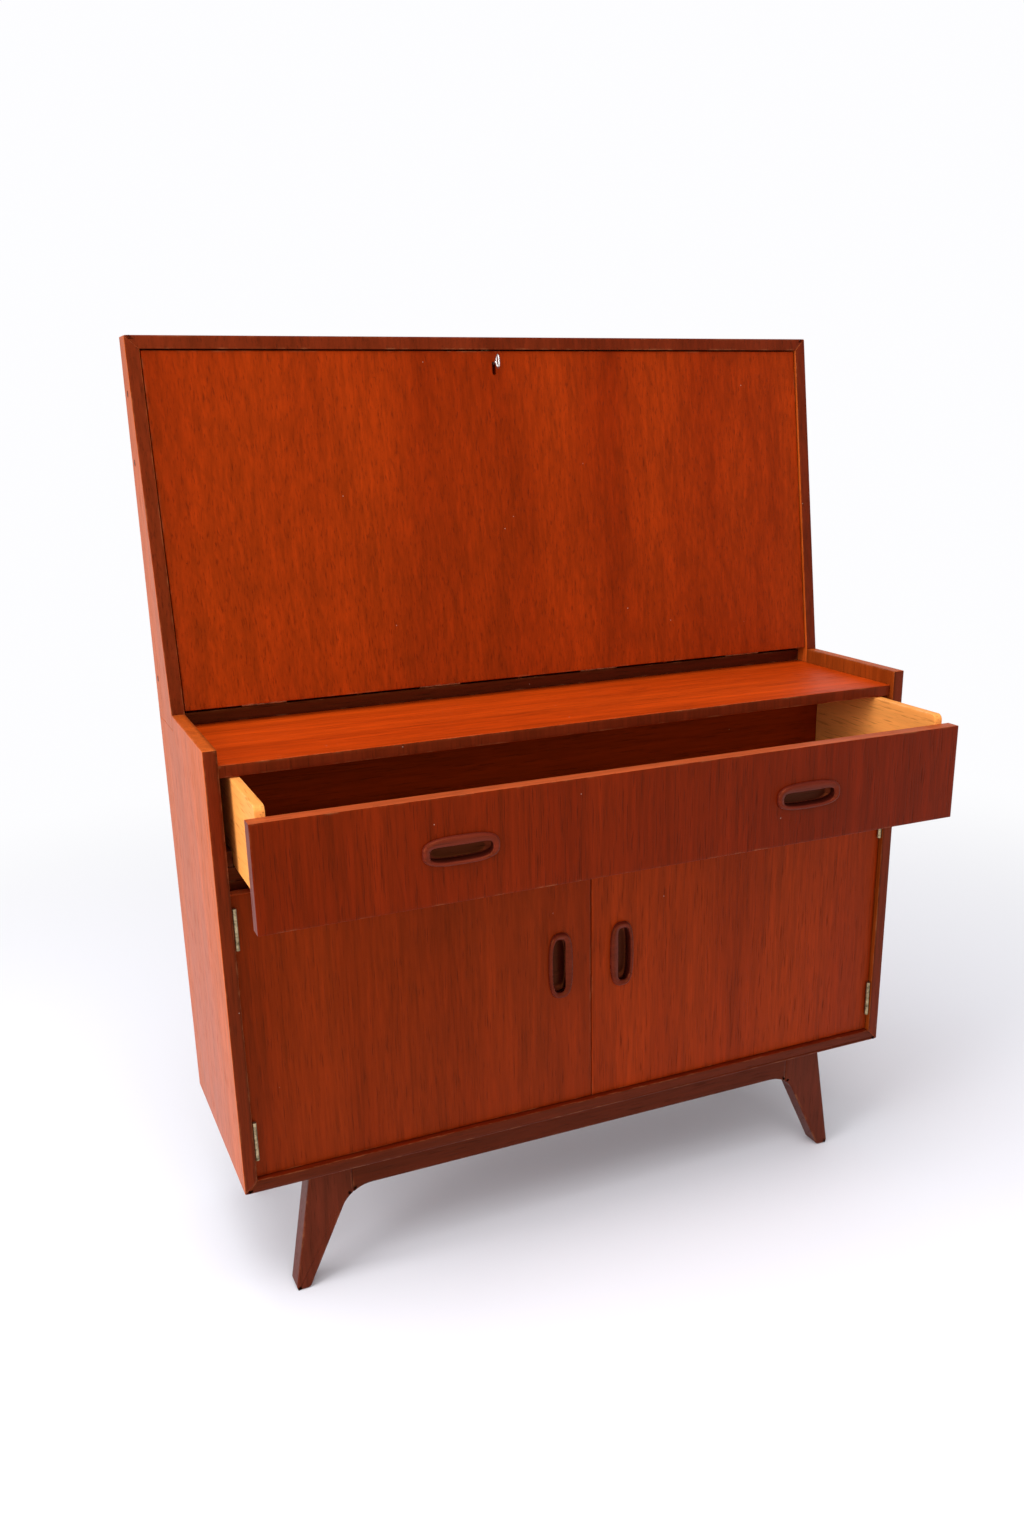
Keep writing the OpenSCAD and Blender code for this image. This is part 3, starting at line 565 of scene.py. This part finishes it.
# %% [markdown]
# ## The cabinet's sides, bottom and ledge
# The sides and the bottom board are veneered boards, mitred at their meeting corners, so
# each side's lower end slopes by its own thickness. In front they show a solid edge strip.
# The sides rise past the ledge as ears, and step down behind the upper unit's front. A mitre
# could be cut with a Boolean; an outline that changes over the thickness gives it directly,
# with its edge still rounded.

# %% Cabinet boards
upper_low, upper_high = corners("upper_side_left")
BOARD = case_high[0] - case_low[0]
LEDGE_TOP = corners("ledge_board")[1][2]
FOOT_Y = upper_low[1]
INNER_SHADE = 0.75


def side_mesh(node, outline, outer, outer_end, inner, inner_end):
    """An outline that takes one height at the outer face and another at the inner face."""
    ends = sorted([(outer, outer_end), (inner, inner_end)])
    (start, first), (end, last) = ends
    return board_mesh(node + "_board", outline(first), "x", start, end, far_outline=outline(last))


def cabinet_side(node, outer, inner):
    """Outline in depth and height with a step behind the ear, and a mitre at its lower end."""
    low, high = corners(node)

    def outline(bottom):
        return [(low[1], bottom), (high[1], bottom), (high[1], LEDGE_TOP), (FOOT_Y, LEDGE_TOP),
                (FOOT_Y, high[2]), (low[1], high[2])]

    piece = side_mesh(node, outline, outer, low[2], inner, low[2] + BOARD)
    # Painted shade on the inner face, which lies in shadow inside the case and beside the upper unit.
    paint_shade(piece, lambda points: INNER_SHADE * (np.abs(points[:, 0] - inner) < 1 * MM))
    return edge_strip(settle(piece, "carcass", VENEER["side"], "teak", node), SOLID["edge"])


left_low, left_high = corners("side_left")
right_low, right_high = corners("side_right")
cabinet_side("side_left", left_low[0], left_high[0])
cabinet_side("side_right", right_high[0], right_low[0])

bottom_low, bottom_high = corners("bottom_board")
bottom_outline = [(bottom_low[0], bottom_low[2]), (bottom_high[0], bottom_low[2]),
                  (bottom_high[0] - BOARD, bottom_high[2]), (bottom_low[0] + BOARD, bottom_high[2])]
bottom_piece = board_mesh("bottom_board_board", bottom_outline, "y", bottom_low[1], bottom_high[1])
edge_strip(settle(bottom_piece, "carcass", VENEER["across"], "teak", "bottom_board"), SOLID["across"])
edge_strip(plain_board("ledge_board", "carcass", VENEER["ledge"], "teak"), SOLID["edge"])
plain_board("divider_board", "carcass", SOLID["across"], "teak_dark")
plain_board("stop_rail", "carcass", SOLID["across"], "teak_dark")
plain_board("case_back", "carcass", PALE["upright"], "pale_wood", THIN_ROUND)
plain_board("cupboard_shelf", "carcass", VENEER["across"], "teak")
plain_board("drawer_guide_left", "carcass", SOLID["deep"], "teak_dark")
plain_board("drawer_guide_right", "carcass", SOLID["deep"], "teak_dark")
print("ledge is", round((LEDGE_TOP - bottom_low[2]) / MM), "mm over the cabinet's underside")

# %% [markdown]
# ## The upper unit
# Its sides are wedges: the back stands upright and the front leans back. The top board is
# mitred to them, and its front edge follows the same slant. The sides are made as the
# cabinet's were. The top is carried from front to back, and its front end is then sheared.

# %% Upper unit boards
top_low, top_high = corners("upper_top")
EAR_TOP = left_high[2]
TOP_UNDER = top_low[2]
BACK_Y = upper_high[1]
HEAD_Y = top_low[1]
SLANT_RUN = (HEAD_Y - FOOT_Y) / (TOP_UNDER - EAR_TOP)


def upper_side(node, outer, inner):
    """Wedge outline in depth and height, full height outside and up to the top board inside."""
    def outline(height):
        front = FOOT_Y + SLANT_RUN * (height - EAR_TOP)
        return [(FOOT_Y, LEDGE_TOP), (BACK_Y, LEDGE_TOP), (BACK_Y, height), (front, height),
                (FOOT_Y, EAR_TOP)]

    piece = side_mesh(node, outline, outer, top_high[2], inner, TOP_UNDER)
    return edge_strip(settle(piece, "carcass", VENEER["side"], "teak", node), SOLID["edge"])


upper_side("upper_side_left", upper_low[0], upper_high[0])
upper_right_low, upper_right_high = corners("upper_side_right")
upper_side("upper_side_right", upper_right_high[0], upper_right_low[0])


def upper_top():
    """Mitred outline in width and height at the back, carried forwards to the slanted front edge."""
    x0, x1 = top_low[0], top_high[0]
    outline = [(x0, top_high[2]), (x0 + BOARD, TOP_UNDER), (x1 - BOARD, TOP_UNDER),
               (x1, top_high[2])]
    piece = board_mesh("upper_top_board", outline, "y", HEAD_Y, BACK_Y)
    points = points_of(piece.data)
    front = points[:, 1] < HEAD_Y + 2 * WEAR_WIDTH
    points[front, 1] += (points[front, 2] - TOP_UNDER) * SLANT_RUN
    move_points(piece.data, points)
    return edge_strip(settle(piece, "carcass", VENEER["across"], "teak", "upper_top"), SOLID["edge"])


top_board = upper_top()
plain_board("upper_floor", "carcass", SOLID["across"], "teak")
plain_board("upper_back", "carcass", PALE["upright"], "pale_wood", THIN_ROUND)
plain_board("letter_shelf", "carcass", VENEER["across"], "teak", PANEL_ROUND)
print("the front leans back by", round(np.degrees(np.arctan(SLANT_RUN)), 2), "degrees")

# %% [markdown]
# ## The fold-down leaf
# The leaf is one veneered panel that leans with the unit's front. The object could be turned
# instead of its mesh, but a finished piece stays unturned at the origin. So it is modelled
# upright about its hinge line, and the slant is then worked into its points.

# %% The leaf's own axes
SLANT = np.arctan(SLANT_RUN)


def joint_named(name):
    return next(joint for joint in frame["joints"] if joint["name"] == name)


HINGE_AT = np.array(joint_named("flap_hinge")["pos_m"])


def lean(piece):
    """Turns a piece back about the hinge line: y' = y cos a + z sin a, z' = z cos a - y sin a."""
    x, y, z = points_of(piece.data).T
    c, s = np.cos(SLANT), np.sin(SLANT)
    move_points(piece.data, np.column_stack([x, y * c + z * s, z * c - y * s]) + HINGE_AT)
    return piece


def unlean(points):
    """Points of the frame as seen from the leaf's own upright axes."""
    x, y, z = (np.asarray(points) - HINGE_AT).T
    c, s = np.cos(SLANT), np.sin(SLANT)
    return np.column_stack([x, y * c - z * s, z * c + y * s])


def leaf_extent(node):
    """A node's extent in the leaf's own axes, read from its vertices."""
    local = unlean(points_of(nodes[node].data))
    return local.min(axis=0), local.max(axis=0)


print("the hinge line is at", np.round(HINGE_AT, 4))

# %% Cutters
def stadium(width, height, centre=(0, 0), steps=24):
    """A circle of half the shorter side, pulled apart: x = r cos a + sign(cos a) (width / 2 - r),
    and the same with the sine and the height."""
    r = min(width, height) / 2
    a = np.linspace(0, 2 * np.pi, 2 * steps, endpoint=False)
    x = r * np.cos(a) + np.sign(np.cos(a)) * (width / 2 - r)
    y = r * np.sin(a) + np.sign(np.sin(a)) * (height / 2 - r)
    return np.column_stack([x + centre[0], y + centre[1]])


def slot_cutter(outline, y0, y1):
    """An outline in width and height carried from y0 to y1."""
    loops = [np.column_stack([outline[:, 0], np.full(len(outline), y), outline[:, 1]])
             for y in (y0, y1)]
    faces = tube_faces(2, len(outline))
    return new_piece("slot_cutter", np.concatenate(loops), faces, smooth=False)


def box_cutter(low, high, gap):
    """A box from low to high, wider by the gap on all sides."""
    x, y = [low[0] - gap, high[0] + gap], [low[1] - gap, high[1] + gap]
    corner = np.array([[x[0], y[0]], [x[1], y[0]], [x[1], y[1]], [x[0], y[1]]])
    loops = [np.column_stack([corner, np.full(4, z)]) for z in (low[2] - gap, high[2] + gap)]
    return new_piece("box_cutter", np.concatenate(loops), tube_faces(2, 4), smooth=False)


print("a round-ended slot has", len(stadium(2, 1)), "points")

# %% Leaf and lock plate
PLATE_RIM = 1.3 * MM
PLATE_ROUND = 0.3 * MM
KEYHOLE_DEPTH = 12 * MM
leaf_low, leaf_high = leaf_extent("flap_panel")
plate_low, plate_high = leaf_extent("escutcheon")
plate_size = plate_high - plate_low
LOCK_X = (plate_low[0] + plate_high[0]) / 2
KEY_Z = unlean([joint_named("key_turn")["pos_m"]])[0][2]


def plate_outline(rim):
    """The plate's round-ended outline, a rim's width in from its own edge."""
    centre = (LOCK_X, (plate_low[2] + plate_high[2]) / 2)
    return stadium(plate_size[0] - 2 * rim, plate_size[2] - 2 * rim, centre)


leaf = board_mesh("leaf", box_outline(leaf_low, leaf_high, "y"), "y", leaf_low[1], leaf_high[1])
cut(leaf, slot_cutter(plate_outline(PLATE_RIM), leaf_low[1] - 1 * MM, leaf_low[1] + KEYHOLE_DEPTH))
settle(lean(leaf), "flap", VENEER["leaf"], "teak", "flap_panel")

plate = board_mesh("lock_plate", plate_outline(0), "y", plate_low[1], plate_high[1], PLATE_ROUND)
cut(plate, slot_cutter(plate_outline(PLATE_RIM), plate_low[1] - 1 * MM, plate_high[1] + 1 * MM))
settle(lean(plate), "flap", RUBBED_BRASS, "brass", "escutcheon")
print("leaf", np.round((leaf_high - leaf_low) / MM, 1), "mm, lock at x", round(LOCK_X / MM, 1))

# %% Pocket for the bolt in the top board
BOLT_GAP = 0.8 * MM
PLATE_GAP = 0.1 * MM
bolt_low, bolt_high = leaf_extent("lock_bolt")
bolt_travel = joint_named("bolt_slide")["range_m"][1]
bolt_low[2], bolt_high[2] = bolt_high[2], bolt_high[2] + bolt_travel
cut(top_board, lean(box_cutter(bolt_low, bolt_high, BOLT_GAP)))
cut(top_board, box_cutter(*corners("strike_plate"), PLATE_GAP))
print("the bolt travels", round(bolt_travel / MM, 1), "mm")

# %% [markdown]
# ## The key
# A small cabinet key: an oval bow, a collar and a round shank with a flat bit. A torus and
# two cylinders would do from far off. A formula gives the bow its oval shape, and a profile
# turned about its axis gives the shank its collar and its blunt end.


# %% Round shapes
def oval_ring(centre, half_height, half_depth, wire, steps=48, sides=16):
    """x = w sin t, y = -(d + w cos t) sin u, z = (h + w cos t) cos u."""
    u = np.linspace(0, 2 * np.pi, steps, endpoint=False)[:, None]
    t = np.linspace(0, 2 * np.pi, sides, endpoint=False)[None, :]
    x = np.broadcast_to(wire * np.sin(t), (steps, sides))
    y = (half_depth + wire * np.cos(t)) * np.sin(u)
    z = (half_height + wire * np.cos(t)) * np.cos(u)
    points = np.stack([x, -y, z], axis=2).reshape(-1, 3) + centre
    i = np.arange(steps)[:, None]
    j = np.arange(sides)[None, :]
    at = lambda a, b: (a % steps) * sides + (b % sides)
    quads = np.stack([at(i, j), at(i + 1, j), at(i + 1, j + 1), at(i, j + 1)], axis=2).reshape(-1, 4)
    return points, quads.tolist()


def turned(profile, centre, steps=32):
    """A profile of (y, r) turned about the y axis: x = r cos a, z = r sin a."""
    y, r = np.asarray(profile, dtype=float).T
    a = np.linspace(0, 2 * np.pi, steps, endpoint=False)
    x = r[:, None] * np.cos(a)
    z = r[:, None] * np.sin(a)
    points = np.stack([x, np.broadcast_to(y[:, None], x.shape), z], axis=2).reshape(-1, 3) + centre
    return points, tube_faces(len(y), steps)


def joined(name, parts):
    """One mesh from several closed shells."""
    offset, vertices, faces = 0, [], []
    for points, quads in parts:
        vertices.append(points)
        faces += [[index + offset for index in face] for face in quads]
        offset += len(points)
    return new_piece(name, np.concatenate(vertices), faces)


print("a ring has", len(oval_ring(np.zeros(3), 2, 2, 1)[0]), "points")

# %% Key
BOW_HIGH, BOW_DEEP, WIRE = 9.5 * MM, 5.5 * MM, 1.2 * MM
SHANK_R, COLLAR_R, TIP_R = 1.75 * MM, 2.4 * MM, 1.3 * MM
BIT_X, BIT_Y, BIT_Z = (-0.9 * MM, 0.9 * MM), (-1.8 * MM, 1.8 * MM), (-6 * MM, -0.5 * MM)
key_low, key_high = leaf_extent("key")
bow_centre = np.array([LOCK_X, key_low[1] + BOW_DEEP, KEY_Z])
y_bow = bow_centre[1] + BOW_DEEP - 0.8 * MM
shank = [(y_bow - 1.4 * MM, 0.9 * MM), (y_bow, 1.7 * MM), (y_bow + 0.8 * MM, COLLAR_R),
         (y_bow + 1.6 * MM, COLLAR_R), (y_bow + 2.4 * MM, SHANK_R),
         (key_high[1] - 0.4 * MM, SHANK_R), (key_high[1], TIP_R)]
lock_centre = np.array([LOCK_X, 0, KEY_Z])
bit_points = np.array([[x, y, z] for x in BIT_X for y in BIT_Y for z in BIT_Z])
bit_faces = [[0, 1, 3, 2], [4, 6, 7, 5], [0, 4, 5, 1], [2, 3, 7, 6], [0, 2, 6, 4], [1, 5, 7, 3]]
bow = oval_ring(bow_centre, BOW_HIGH - WIRE, BOW_DEEP - WIRE, WIRE)
bit = (bit_points + lock_centre, bit_faces)
key_piece = joined("cabinet_key", [bow, turned(shank, lock_centre), bit])
settle(lean(key_piece), "key", STEEL, "steel", "key")
print("key bow", round(2 * BOW_HIGH / MM, 1), "mm high")

# %% [markdown]
# ## Let-in pulls
# Each pull is a carved oval of solid teak, let into the panel. Its rim rises to a soft
# crest and falls to the finger opening, and the middle of one long side is left wide as a
# lip to pull on. Under the lip the hollow is undercut. Sculpting would give four pulls that
# differ. Here a pull is a tube of rings: a ring is an oval with its own size, height and
# lip, and a subdivision surface smooths between rings.

# %% Pull profile
PULL_STEPS = 64
LIP = 3.4 * MM
MOUTH = (39 * MM, 11 * MM)
HOLLOW = (41 * MM, 12 * MM)
TENON_STEP = 4 * MM


def oval(half_length, half_width, squareness=2.7):
    """Superellipse: |x/a|^n + |y/b|^n = 1."""
    a = np.linspace(0, 2 * np.pi, PULL_STEPS, endpoint=False)
    c, s = np.cos(a), np.sin(a)
    power = 2.0 / squareness
    return np.column_stack([half_length * np.sign(c) * np.abs(c) ** power,
                            half_width * np.sign(s) * np.abs(s) ** power])


def pull_rings(half_length, half_width, proud, depth):
    """Rings from the back of the tenon, out over the rim, and down into the hollow.
    The lip takes LIP (sin a)^3 off the mouth's upper side."""
    def rim(shrink):
        return oval(half_length - shrink, half_width - shrink, 3.0)

    def between(share):
        return crest * (1 - share) + mouth * share

    tenon = oval(half_length - TENON_STEP, half_width - TENON_STEP, 3.2)
    a = np.linspace(0, 2 * np.pi, PULL_STEPS, endpoint=False)
    mouth = oval(*MOUTH, 3.2)
    mouth[:, 1] -= 1.6 * MM + np.clip(np.sin(a), 0, 1) ** 3 * LIP
    hollow = oval(*HOLLOW, 3.0)
    crest = rim(3.6 * MM)
    loops = [(tenon, -depth), (tenon, -0.4 * MM), (rim(0.2 * MM), -0.2 * MM), (rim(0.0), 0.6 * MM),
             (rim(0.0), 2.2 * MM), (rim(0.9 * MM), proud - 1.4 * MM), (rim(2.2 * MM), proud - 0.3 * MM),
             (crest, proud), (between(0.5), proud - 0.8 * MM), (between(0.9), proud - 1.9 * MM),
             (mouth, proud - 2.6 * MM), (mouth * 1.01, proud - 3.6 * MM), (hollow, proud - 7.0 * MM),
             (hollow, 4 * MM - depth), (hollow * 0.93, 2.8 * MM - depth), (hollow * 0.7, 2.6 * MM - depth)]
    rings = [np.column_stack([loop, np.full(PULL_STEPS, height)]) for loop, height in loops]
    # Painted shade in the hollow: the rings from the mouth down are darkened more the deeper they lie.
    shades = np.repeat([0.0] * 10 + [0.3, 0.6, 0.9, 1.0, 1.0, 1.0], PULL_STEPS)
    return np.concatenate(rings), shades


print("a pull's mouth is", round(2 * MOUTH[0] / MM), "by", round(2 * MOUTH[1] / MM), "mm")

# %% Pulls
PANEL_FACE = {node: corners(panel)[0][1] for node, panel in (
    ("drawer", "drawer_front"), ("door_left", "door_left"), ("door_right", "door_right"))}


def pull(node, body, across, lip_way):
    """A pull at its node's place; across is its long direction, and lip_way where its lip lies."""
    low, high = corners(node)
    centre = (low + high) / 2
    across, lip_way = np.array(across, dtype=float), np.array(lip_way, dtype=float)
    outward = np.array([0.0, -1.0, 0.0])
    half_length = np.abs((high - low) @ across) / 2
    half_width = np.abs((high - low) @ lip_way) / 2
    face = PANEL_FACE[body]
    rings, shades = pull_rings(half_length, half_width, face - low[1], high[1] - face)
    place = np.array([centre[0], face, centre[2]])
    points = place + rings[:, :1] * across + rings[:, 1:2] * lip_way + rings[:, 2:] * outward
    faces = tube_faces(len(rings) // PULL_STEPS, PULL_STEPS)
    piece = new_piece(node + "_carved", points, faces, shade=shades)
    smooth = piece.modifiers.new("smooth", "SUBSURF")
    smooth.levels = smooth.render_levels = 1
    return settle(piece, body, SOLID["pull"], "teak_dark", node)


pull("drawer_pull_left", "drawer", (1, 0, 0), (0, 0, 1))
pull("drawer_pull_right", "drawer", (1, 0, 0), (0, 0, 1))
pull("door_pull_left", "door_left", (0, 0, 1), (1, 0, 0))
pull("door_pull_right", "door_right", (0, 0, 1), (-1, 0, 0))
print("pulls stand", round((PANEL_FACE["drawer"] - corners("drawer_pull_left")[0][1]) / MM, 1), "mm proud")

# %% [markdown]
# ## Drawer front and doors
# These are flat veneered panels with a mortise behind each pull. The mortise could be left
# out, as the pull hides it, but the panel and the pull would then run through each other.
# It is cut from the rounded board, a little wider than the pull's tenon.

# %% Panels with mortises
MORTISE_STEP = 7.7 * MM


def mortise_cutter(node):
    low, high = corners(node)
    centre = (low + high) / 2
    size = high - low - MORTISE_STEP
    outline = stadium(size[0], size[2], (centre[0], centre[2]))
    return slot_cutter(outline, low[1] - 2 * MM, high[1] + 0.1 * MM)


def front_panel(node, body, material, pulls):
    low, high = corners(node)
    outline = box_outline(low, high, "y")
    piece = board_mesh(node + "_panel", outline, "y", low[1], high[1], PANEL_ROUND)
    for each in pulls:
        cut(piece, mortise_cutter(each))
    settle(piece, body, material, "teak", node)
    return edge_strip(piece, SOLID["lip"], (0, 0, 1))


drawer_pulls = ["drawer_pull_left", "drawer_pull_right"]
front_panel("drawer_front", "drawer", VENEER["drawer front"], drawer_pulls)
front_panel("door_left", "door_left", VENEER["left door"], ["door_pull_left"])
front_panel("door_right", "door_right", VENEER["right door"], ["door_pull_right"])
print("mortises lie", round(MORTISE_STEP / 2 / MM, 2), "mm in from the pulls' edges")

# %% [markdown]
# ## The drawer's box
# The sides are pale beech, thin, with a rounded front top corner that rises over the
# drawer front. The bottom is a thin reddish panel in grooves. The round corner is part of
# the outline, so it needs no Bevel. The back and the bottom take a lighter teak as painted
# light, and a shade attribute paints shade on the back, darker towards its top, where the
# ledge shades it.

# %% Drawer box
CORNER_R = 8 * MM
DRAWER_ROUND = 0.6 * MM
BACK_SHADE = 0.9


def drawer_side(node):
    """Outline in depth and height with the front top corner rounded to CORNER_R."""
    low, high = corners(node)
    a = np.radians(np.linspace(90, 180, 9))
    centre = np.array([low[1] + CORNER_R, high[2] - CORNER_R])
    corner = centre + CORNER_R * np.column_stack([np.cos(a), np.sin(a)])
    behind = [(high[1], low[2]), (high[1], high[2])]
    outline = np.concatenate([behind, corner, [(low[1], low[2])]])
    piece = board_mesh(node + "_board", outline, "x", low[0], high[0], DRAWER_ROUND)
    return settle(piece, "drawer", PALE["deep"], "pale_wood", node)


drawer_side("drawer_side_left")
drawer_side("drawer_side_right")
# A lighter teak as painted light inside the drawer.
inside = VENEER["drawer inside"]
back_low, back_high = corners("drawer_back")
back_board = plain_board("drawer_back", "drawer", inside, "teak", DRAWER_ROUND)
back_height = back_high[2] - back_low[2]
# Painted shade: the back is darker towards its top, where the ledge shades it.
paint_shade(back_board, lambda points: BACK_SHADE * (points[:, 2] - back_low[2]) / back_height)
plain_board("drawer_bottom", "drawer", inside, "teak", THIN_ROUND)
print("the drawer's back is", round(back_height / MM, 1), "mm high")

# %% [markdown]
# ## The leg frame
# Each leg is sawn from a plank: its outer edge leans, its inner edge leans more and runs in
# a curve into the rail. The glued joint between leg block and rail shows as a fine line. A
# tapered box could be bent to the curve; a sawn outline is how the real one is made. Its
# arcs are worked out from the edges that they touch.

# %% Leg outline
FOOT_W = 25 * MM
FOOT_R = 6 * MM
HEEL_IN = 1.5 * MM
KNEE_R = 48 * MM
KNEE_IN = 145 * MM
leg_low, leg_high = corners("leg_front_left")
rail_low, rail_high = corners("side_rail_left")
RAIL_H = rail_high[2] - rail_low[2]


def arc(centre, radius, first, last, count):
    """Points at centre + radius (cos a, sin a), with a running from first to last."""
    a = np.linspace(first, last, count)
    return np.asarray(centre) + radius * np.column_stack([np.cos(a), np.sin(a)])


def leg_profile():
    """Outline from the outer top corner: block, curve, inner edge, foot with rounded corners, outer edge."""
    outer_foot, outer_top = leg_low[0], rail_low[0]
    top, ground = leg_high[2], leg_low[2]
    block_end = leg_high[0]
    knee = KNEE_IN + case_low[0]
    lean_in = np.arctan2(knee - outer_foot - FOOT_W, top - RAIL_H - ground)
    reach = KNEE_R * np.tan((np.pi / 2 - lean_in) / 2)
    centre = np.array([knee + reach, top - RAIL_H - KNEE_R])
    first = np.arccos((block_end - centre[0]) / KNEE_R)
    curve = arc(centre, KNEE_R, first, np.pi - lean_in, 16)
    hip = np.arctan2(outer_top - outer_foot, top - ground)
    toe_in = FOOT_R * np.tan(np.pi / 4 + lean_in / 2)
    toe_x = outer_foot + FOOT_W - toe_in + FOOT_R * (1 / np.cos(lean_in) - 1)
    toe = arc((toe_x, ground + FOOT_R), FOOT_R, -lean_in, -np.pi / 2, 7)
    heel_x = outer_foot + FOOT_R + HEEL_IN
    heel = arc((heel_x, ground + FOOT_R), FOOT_R, -np.pi / 2, -np.pi + hip, 7)
    outline = np.concatenate([[(outer_top, top), (block_end, top)], curve, toe, heel])
    return outline, centre, first


leg_outline, knee_centre, knee_first = leg_profile()
print("the leg's outline has", len(leg_outline), "points")

# %% Legs and rails
LEG_ROUND = 1.6 * MM
RAIL_ROUND = 0.9 * MM


def leg(node, side):
    low, high = corners(node)
    outline = leg_outline * (1 if side == "left" else -1, 1)
    piece = board_mesh(node + "_sawn", outline, "y", low[1], high[1], LEG_ROUND)
    return settle(piece, "carcass", SOLID["upright"], "teak_dark", node)


def long_rail(node):
    """The rail carries on the knee curve at both ends."""
    low, high = corners(node)
    curve = arc(knee_centre, KNEE_R, knee_first, np.pi / 2, 10)
    left = np.concatenate([[(low[0], high[2])], curve])
    outline = np.concatenate([left, (left * (-1, 1))[::-1]])
    piece = board_mesh(node + "_sawn", outline, "y", low[1], high[1], RAIL_ROUND)
    return settle(piece, "carcass", SOLID["across"], "teak_dark", node)


for end in ("front", "back"):
    for side in ("left", "right"):
        leg(f"leg_{end}_{side}", side)
long_rail("front_rail")
long_rail("back_rail")
plain_board("side_rail_left", "carcass", SOLID["deep"], "teak_dark")
plain_board("side_rail_right", "carcass", SOLID["deep"], "teak_dark")
print("the frame stands", round((leg_high[2] - leg_low[2]) / MM, 1), "mm high")

# %% [markdown]
# ## Small pieces that keep their frame shape
# Hinges, pins, screws, stops, dividers and the catch are already true shapes. Each could be
# made again as a mesh, but little would be gained, so they only get their finish.

# %% Finishes of carried-over nodes
KEEP = [
    (BRASS, ["shelf_pins", "door_hinge_plates", "flap_hinge_plates", "strike_plate",
             "door_leaves_left", "door_leaves_right", "flap_leaves", "lock_bolt"]),
    (STEEL, ["frame_screws", "door_hinge_pins", "flap_hinge_pins", "catch_plate_left",
             "catch_plate_right", "lock_case"]),
    (PLASTIC, ["catch_housing"]),
    (SOLID["upright"], ["flap_stops", "side_plugs"]),
    (VENEER["across"], ["letter_divider_1", "letter_divider_2", "letter_divider_3"]),
    (PALE["across"], ["case_dowels"]),
]
for material, names in KEEP:
    for name in names:
        nodes[name].data.materials.clear()
        nodes[name].data.materials.append(material)
print("carried over:", sum(len(names) for _, names in KEEP), "nodes")

# %% [markdown]
# ## Floor and light
# A pale floor fades into a white surround. A curved backdrop would hide the horizon too, but
# it would throw the light back; a floor that glows more with distance doesn't. A large soft
# light on the left makes the left side bright and gives the drawer and the ledge their
# sheen. Weak light from the front and the surround keeps the shadows open.

# %% Floor
FLOOR_SIZE = 60
FLOOR_DROP = 0.5 * MM
FLOOR_COLOR = (0.87, 0.87, 0.93)
WHITE_GLOW = (0.985, 0.985, 1.0)
FADE_FROM, FADE_TO = 0.75, 2.6


def pale_floor():
    """Matt near the desk; a glow takes over with distance, so that no horizon shows."""
    bpy.ops.mesh.primitive_plane_add(size=FLOOR_SIZE, location=(0, 0, -FLOOR_DROP))
    plane = bpy.context.object
    plane.name = "floor"
    g = Graph("pale floor")
    g.finish(Base_Color=rgba(FLOOR_COLOR), Roughness=0.8)
    out = next(node for node in g.tree.nodes if node.type == "OUTPUT_MATERIAL")
    length = g.add("ShaderNodeVectorMath", {0: g.place((1, 1, 1))}, operation="LENGTH")
    inputs = {"Value": length.outputs["Value"], "From Min": FADE_FROM, "From Max": FADE_TO}
    fade = g.add("ShaderNodeMapRange", inputs, interpolation_type="SMOOTHSTEP").outputs[0]
    glow = g.add("ShaderNodeEmission", {"Color": rgba(WHITE_GLOW), "Strength": 1.0}).outputs[0]
    blend = g.add("ShaderNodeMixShader", {0: fade, 1: g.shader.outputs[0], 2: glow}).outputs[0]
    g.tree.links.new(blend, out.inputs["Surface"])
    plane.data.materials.append(g.material)


pale_floor()
print("the floor fades from", FADE_FROM, "to", FADE_TO, "m")

# %% Lights
LAMP_STRENGTH = 0.55


def soft_light(name, at, towards, size, power):
    data = bpy.data.lights.new(name, "AREA")
    data.shape = "RECTANGLE"
    data.size, data.size_y = size
    data.energy = power
    light = bpy.data.objects.new(name, data)
    bpy.context.scene.collection.objects.link(light)
    light.location = at
    light.rotation_euler = (Vector(towards) - Vector(at)).to_track_quat("-Z", "Y").to_euler()
    light.visible_camera = False


def surround():
    """White where the camera looks, weaker where it lights."""
    world = bpy.data.worlds.new("surround")
    bpy.context.scene.world = world
    world.use_nodes = True
    tree = world.node_tree
    tree.nodes.clear()
    path = tree.nodes.new("ShaderNodeLightPath")
    lamp = tree.nodes.new("ShaderNodeBackground")
    lamp.inputs["Color"].default_value = rgba((1, 1, 1))
    lamp.inputs["Strength"].default_value = LAMP_STRENGTH
    seen = tree.nodes.new("ShaderNodeBackground")
    seen.inputs["Color"].default_value = rgba(WHITE_GLOW)
    blend = tree.nodes.new("ShaderNodeMixShader")
    out = tree.nodes.new("ShaderNodeOutputWorld")
    tree.links.new(path.outputs["Is Camera Ray"], blend.inputs[0])
    tree.links.new(lamp.outputs[0], blend.inputs[1])
    tree.links.new(seen.outputs[0], blend.inputs[2])
    tree.links.new(blend.outputs[0], out.inputs["Surface"])


surround()
soft_light("window", (-3.4, -0.8, 1.6), (0, 0, 0.6), (2.2, 2.2), 98)
soft_light("overhead", (-0.6, -0.9, 3.4), (0, -0.1, 0.5), (2.6, 2.2), 75)
soft_light("front fill", (0.2, -4.0, 1.4), (0, 0, 0.6), (2.4, 1.6), 32)
bpy.context.scene.view_settings.view_transform = "Standard"
print("lights:", [each.name for each in bpy.data.lights])

# %% [markdown]
